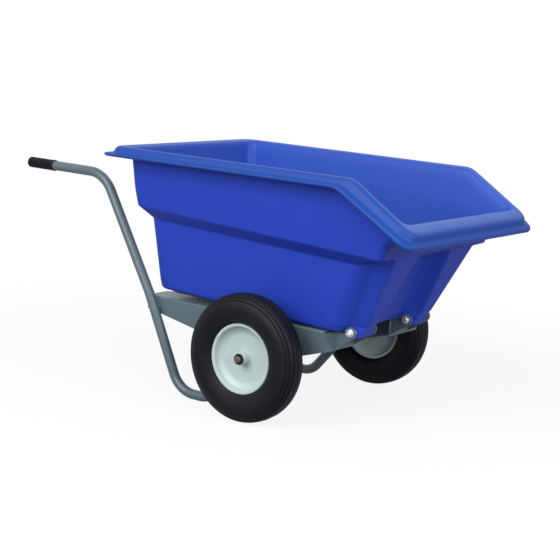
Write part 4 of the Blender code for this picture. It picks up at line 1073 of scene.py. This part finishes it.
FOOT_RADIUS = 0.022
FOOT_RISE = 0.026
FOOT_PLAY = 0.0015
FOOT_LOW = EAR_INNER + PLATE + FOOT_PLAY
FOOT_HIGH = EAR_OUTER - PLATE - FOOT_PLAY
FOOT_MIDDLE = 0.16
INNER_TAPER = {"behind": 0.010, "by": 0.026, "over": 0.050}
OUTER_TAPER = {"behind": 0.014, "by": 0.039, "over": 0.054}
FOOT_EDGE = 0.0020
SLEEVE_RADIUS = 0.0096
SLEEVE_GAP = 0.002
wall_lean = Vector((FRONT_SLOPE, 1.0)).normalized()
wall_normal = Vector((wall_lean.y, -wall_lean.x))
foot_front_low = Vector((PIVOT.x, PIVOT.z)) + wall_normal * FOOT_RADIUS
foot_top = PIVOT.z + FOOT_RISE
foot_line = [tuple(foot_front_low + wall_lean * (foot_top - foot_front_low.y) / wall_lean.y)]
foot_line += arc(PIVOT.x, PIVOT.z, FOOT_RADIUS,
                 math.degrees(math.atan2(wall_normal.y, wall_normal.x)), -195.0, 32)
foot_line.append((PIVOT.x - FOOT_RADIUS, foot_top))
for name, side in SIDES.items():
    low_y, high_y = sorted((side * FOOT_LOW, side * FOOT_HIGH))
    lug = cut_plate("pivot_foot_" + name, foot_line, low_y, high_y)
    bpy.ops.object.mode_set(mode="EDIT")
    for taper in (INNER_TAPER, OUTER_TAPER):
        bpy.ops.mesh.select_all(action="SELECT")
        bpy.ops.mesh.bisect(plane_co=(PIVOT.x - taper["behind"], 0.0, 0.0),
                            plane_no=(1.0, 0.0, 0.0))
    bpy.ops.object.mode_set(mode="OBJECT")
    for vertex in lug.data.vertices:
        outer = abs(vertex.co.y) >= FOOT_MIDDLE
        taper = OUTER_TAPER if outer else INNER_TAPER
        run = max(0.0, vertex.co.x - PIVOT.x + taper["behind"])
        vertex.co.y += (-side if outer else side) * taper["by"] * run / taper["over"]
    bevelled(lug, FOOT_EDGE, 3, 40.0)
    cut_with(barrow_tub, lug, "UNION")
for name, side in SIDES.items():
    low_y, high_y = sorted((side * (EAR_INNER + SLEEVE_GAP), side * (EAR_OUTER - SLEEVE_GAP)))
    cut_with(barrow_tub, round_bar("bolt_way", SLEEVE_RADIUS, low_y, high_y, PIVOT.x, PIVOT.z))

moulding, shader, place = finish("tub_plastic", Specular_IOR_Level=0.28)
shift = place.noise(2.2, 3.0)
flow = place.stretched((1.0, 1.0, 5.0)).noise(14.0, 3.0)
orange_peel = place.noise(240.0, 2.0, 0.6)
rub = place.noise(38.0, 6.0, 0.7).between(0.60, 0.74)
painted_skylight = place.node("Attribute", {"attribute_name": "painted_skylight"}, {}, 2)
painted_rim_shade = place.node("Attribute", {"attribute_name": "painted_rim_shade"}, {}, 2)
painted_crest_highlight = place.node("Attribute", {"attribute_name": "painted_crest_highlight"}, {}, 2)
# Random tone, flow and rub from noise, plus the painted cyan skylight tint on the rim and inside.
paling = shift * 0.25 + flow * 0.10 + rub * 0.10 + painted_skylight * 0.70
colour = paling.mix((0.014, 0.043, 0.434, 1.0), (0.030, 0.090, 0.458, 1.0))
# The rim, as far as its inner slope, is darkened: painted shade on its flange, bead and crest.
colour = (painted_rim_shade * 0.85).mix(colour, (0.006, 0.056, 0.305, 1.0))
# The crown of the bead is paled by a painted highlight, stronger towards its inner edge.
feed(shader,
     Base_Color=(painted_crest_highlight * 0.46).mix(colour, (0.120, 0.225, 0.640, 1.0)),
     Roughness=0.45 + flow * 0.06 + rub * 0.12,
     Normal=(orange_peel * 0.7 + flow * 0.5).bump(0.0004, 0.30))
dress(barrow_tub, moulding, "tub", ["tub"], 40.0)

# Studio: a floor and a surround that the camera sees as white, with a faint shadow under the
# barrow, and three large soft lamps: on its near side, in front and, weaker, behind. The camera
# stands where the photograph was taken from.

CENTRE = (-0.15, 0.0, 0.40)
COOL = (0.97, 0.99, 1.0)
SHEET_Z = -0.0006
FLOOR_IN_MIRRORS = 0.3
WORLD_IN_MIRRORS = 0.70
SHADOW_STRENGTH = 0.13
SHADOW_REACH = (0.9, 2.4)
WORLD_LIGHT = 0.36


def lamp(name, place_at, aim, size, power, colour=(1.0, 1.0, 1.0)):
    """Square soft lamp aimed at a point."""
    data = bpy.data.lights.new(name, "AREA")
    data.shape = "SQUARE"
    data.size = size
    data.energy = power
    data.color = colour
    light = bpy.data.objects.new(name, data)
    light.location = place_at
    light.rotation_euler = (Vector(aim) - Vector(place_at)).to_track_quat("-Z", "Y").to_euler()
    bpy.context.collection.objects.link(light)


lamp("key_lamp", (-0.6, -4.3, 2.9), CENTRE, 3.6, 205.0, COOL)
lamp("front_lamp", (3.6, -1.2, 1.9), CENTRE, 2.8, 98.0, COOL)
lamp("back_lamp", (-1.2, 3.6, 3.0), CENTRE, 3.0, 14.0)

floor_sheet = started("studio_floor", bpy.ops.mesh.primitive_plane_add, size=30.0,
                      location=(0.0, 0.0, SHEET_Z))
floor_material, shader, place = finish("studio_floor", Roughness=0.9, Specular_IOR_Level=0.0)
tree = floor_material.node_tree


def white_to(tree, in_mirrors):
    """Mask of the rays that see the surround as white: the camera's, and those by way of glass
    and, in part, of mirrors."""
    direct = Socket(tree).node("LightPath", {}, {}, 0)
    mirror = Socket(tree, direct.output.node.outputs["Is Glossy Ray"])
    through = Socket(tree, direct.output.node.outputs["Is Transmission Ray"])
    indirect = Socket(tree).math("MAXIMUM", mirror * in_mirrors, through)
    return Socket(tree).math("MAXIMUM", direct, indirect)


seen = white_to(tree, FLOOR_IN_MIRRORS)
feed(shader, Base_Color=seen.mix((0.145, 0.157, 0.190, 1.0), (0.95, 0.95, 0.95, 1.0)))
glow = Socket(tree).node("Emission", {}, {"Color": (1.0, 1.0, 1.0, 1.0), "Strength": 1.0})
lit = Socket(tree, shader.outputs[0])
far = place.node("VectorMath", {"operation": "LENGTH"}, {0: place}, 1).between(*SHADOW_REACH)
glow_share = seen * (1.0 - SHADOW_STRENGTH + far * SHADOW_STRENGTH)
blend = Socket(tree).node("MixShader", {}, {0: glow_share, 1: lit, 2: glow})
tree.links.new(blend.output, tree.nodes["Material Output"].inputs["Surface"])
floor_sheet.data.materials.append(floor_material)

world = bpy.data.worlds.new("studio")
world.use_nodes = True
bpy.context.scene.world = world
tree = world.node_tree
white = white_to(tree, WORLD_IN_MIRRORS)
strength = WORLD_LIGHT + white * (1.0 - WORLD_LIGHT)
tree.links.new(strength.output, tree.nodes["Background"].inputs["Strength"])
skylight = white.mix((0.95, 0.99, 1.08, 1.0), (1.0, 1.0, 1.0, 1.0))
tree.links.new(skylight.output, tree.nodes["Background"].inputs["Color"])

camera_data = bpy.data.cameras.new("photo_view")
camera_data.sensor_width = 36.0
camera_data.lens = 95.942
camera_data.clip_end = 100.0
camera = bpy.data.objects.new("photo_view", camera_data)
bpy.context.collection.objects.link(camera)
VIEW_TURN = math.radians(35.6807)
VIEW_RISE = math.radians(10.2473)
VIEW_ROLL = math.radians(3.6276)
VIEW_TARGET = Vector((-0.153137, 0.0, 0.377383))
VIEW_DISTANCE = 4.91174
back = Vector((math.sin(VIEW_TURN) * math.cos(VIEW_RISE),
               -math.cos(VIEW_TURN) * math.cos(VIEW_RISE), math.sin(VIEW_RISE)))
camera.rotation_mode = "QUATERNION"
camera.rotation_quaternion = back.to_track_quat("Z", "Y") @ Quaternion((0.0, 0.0, 1.0), VIEW_ROLL)
camera.location = VIEW_TARGET + back * VIEW_DISTANCE
bpy.context.scene.camera = camera
bpy.context.scene.view_settings.view_transform = "Standard"
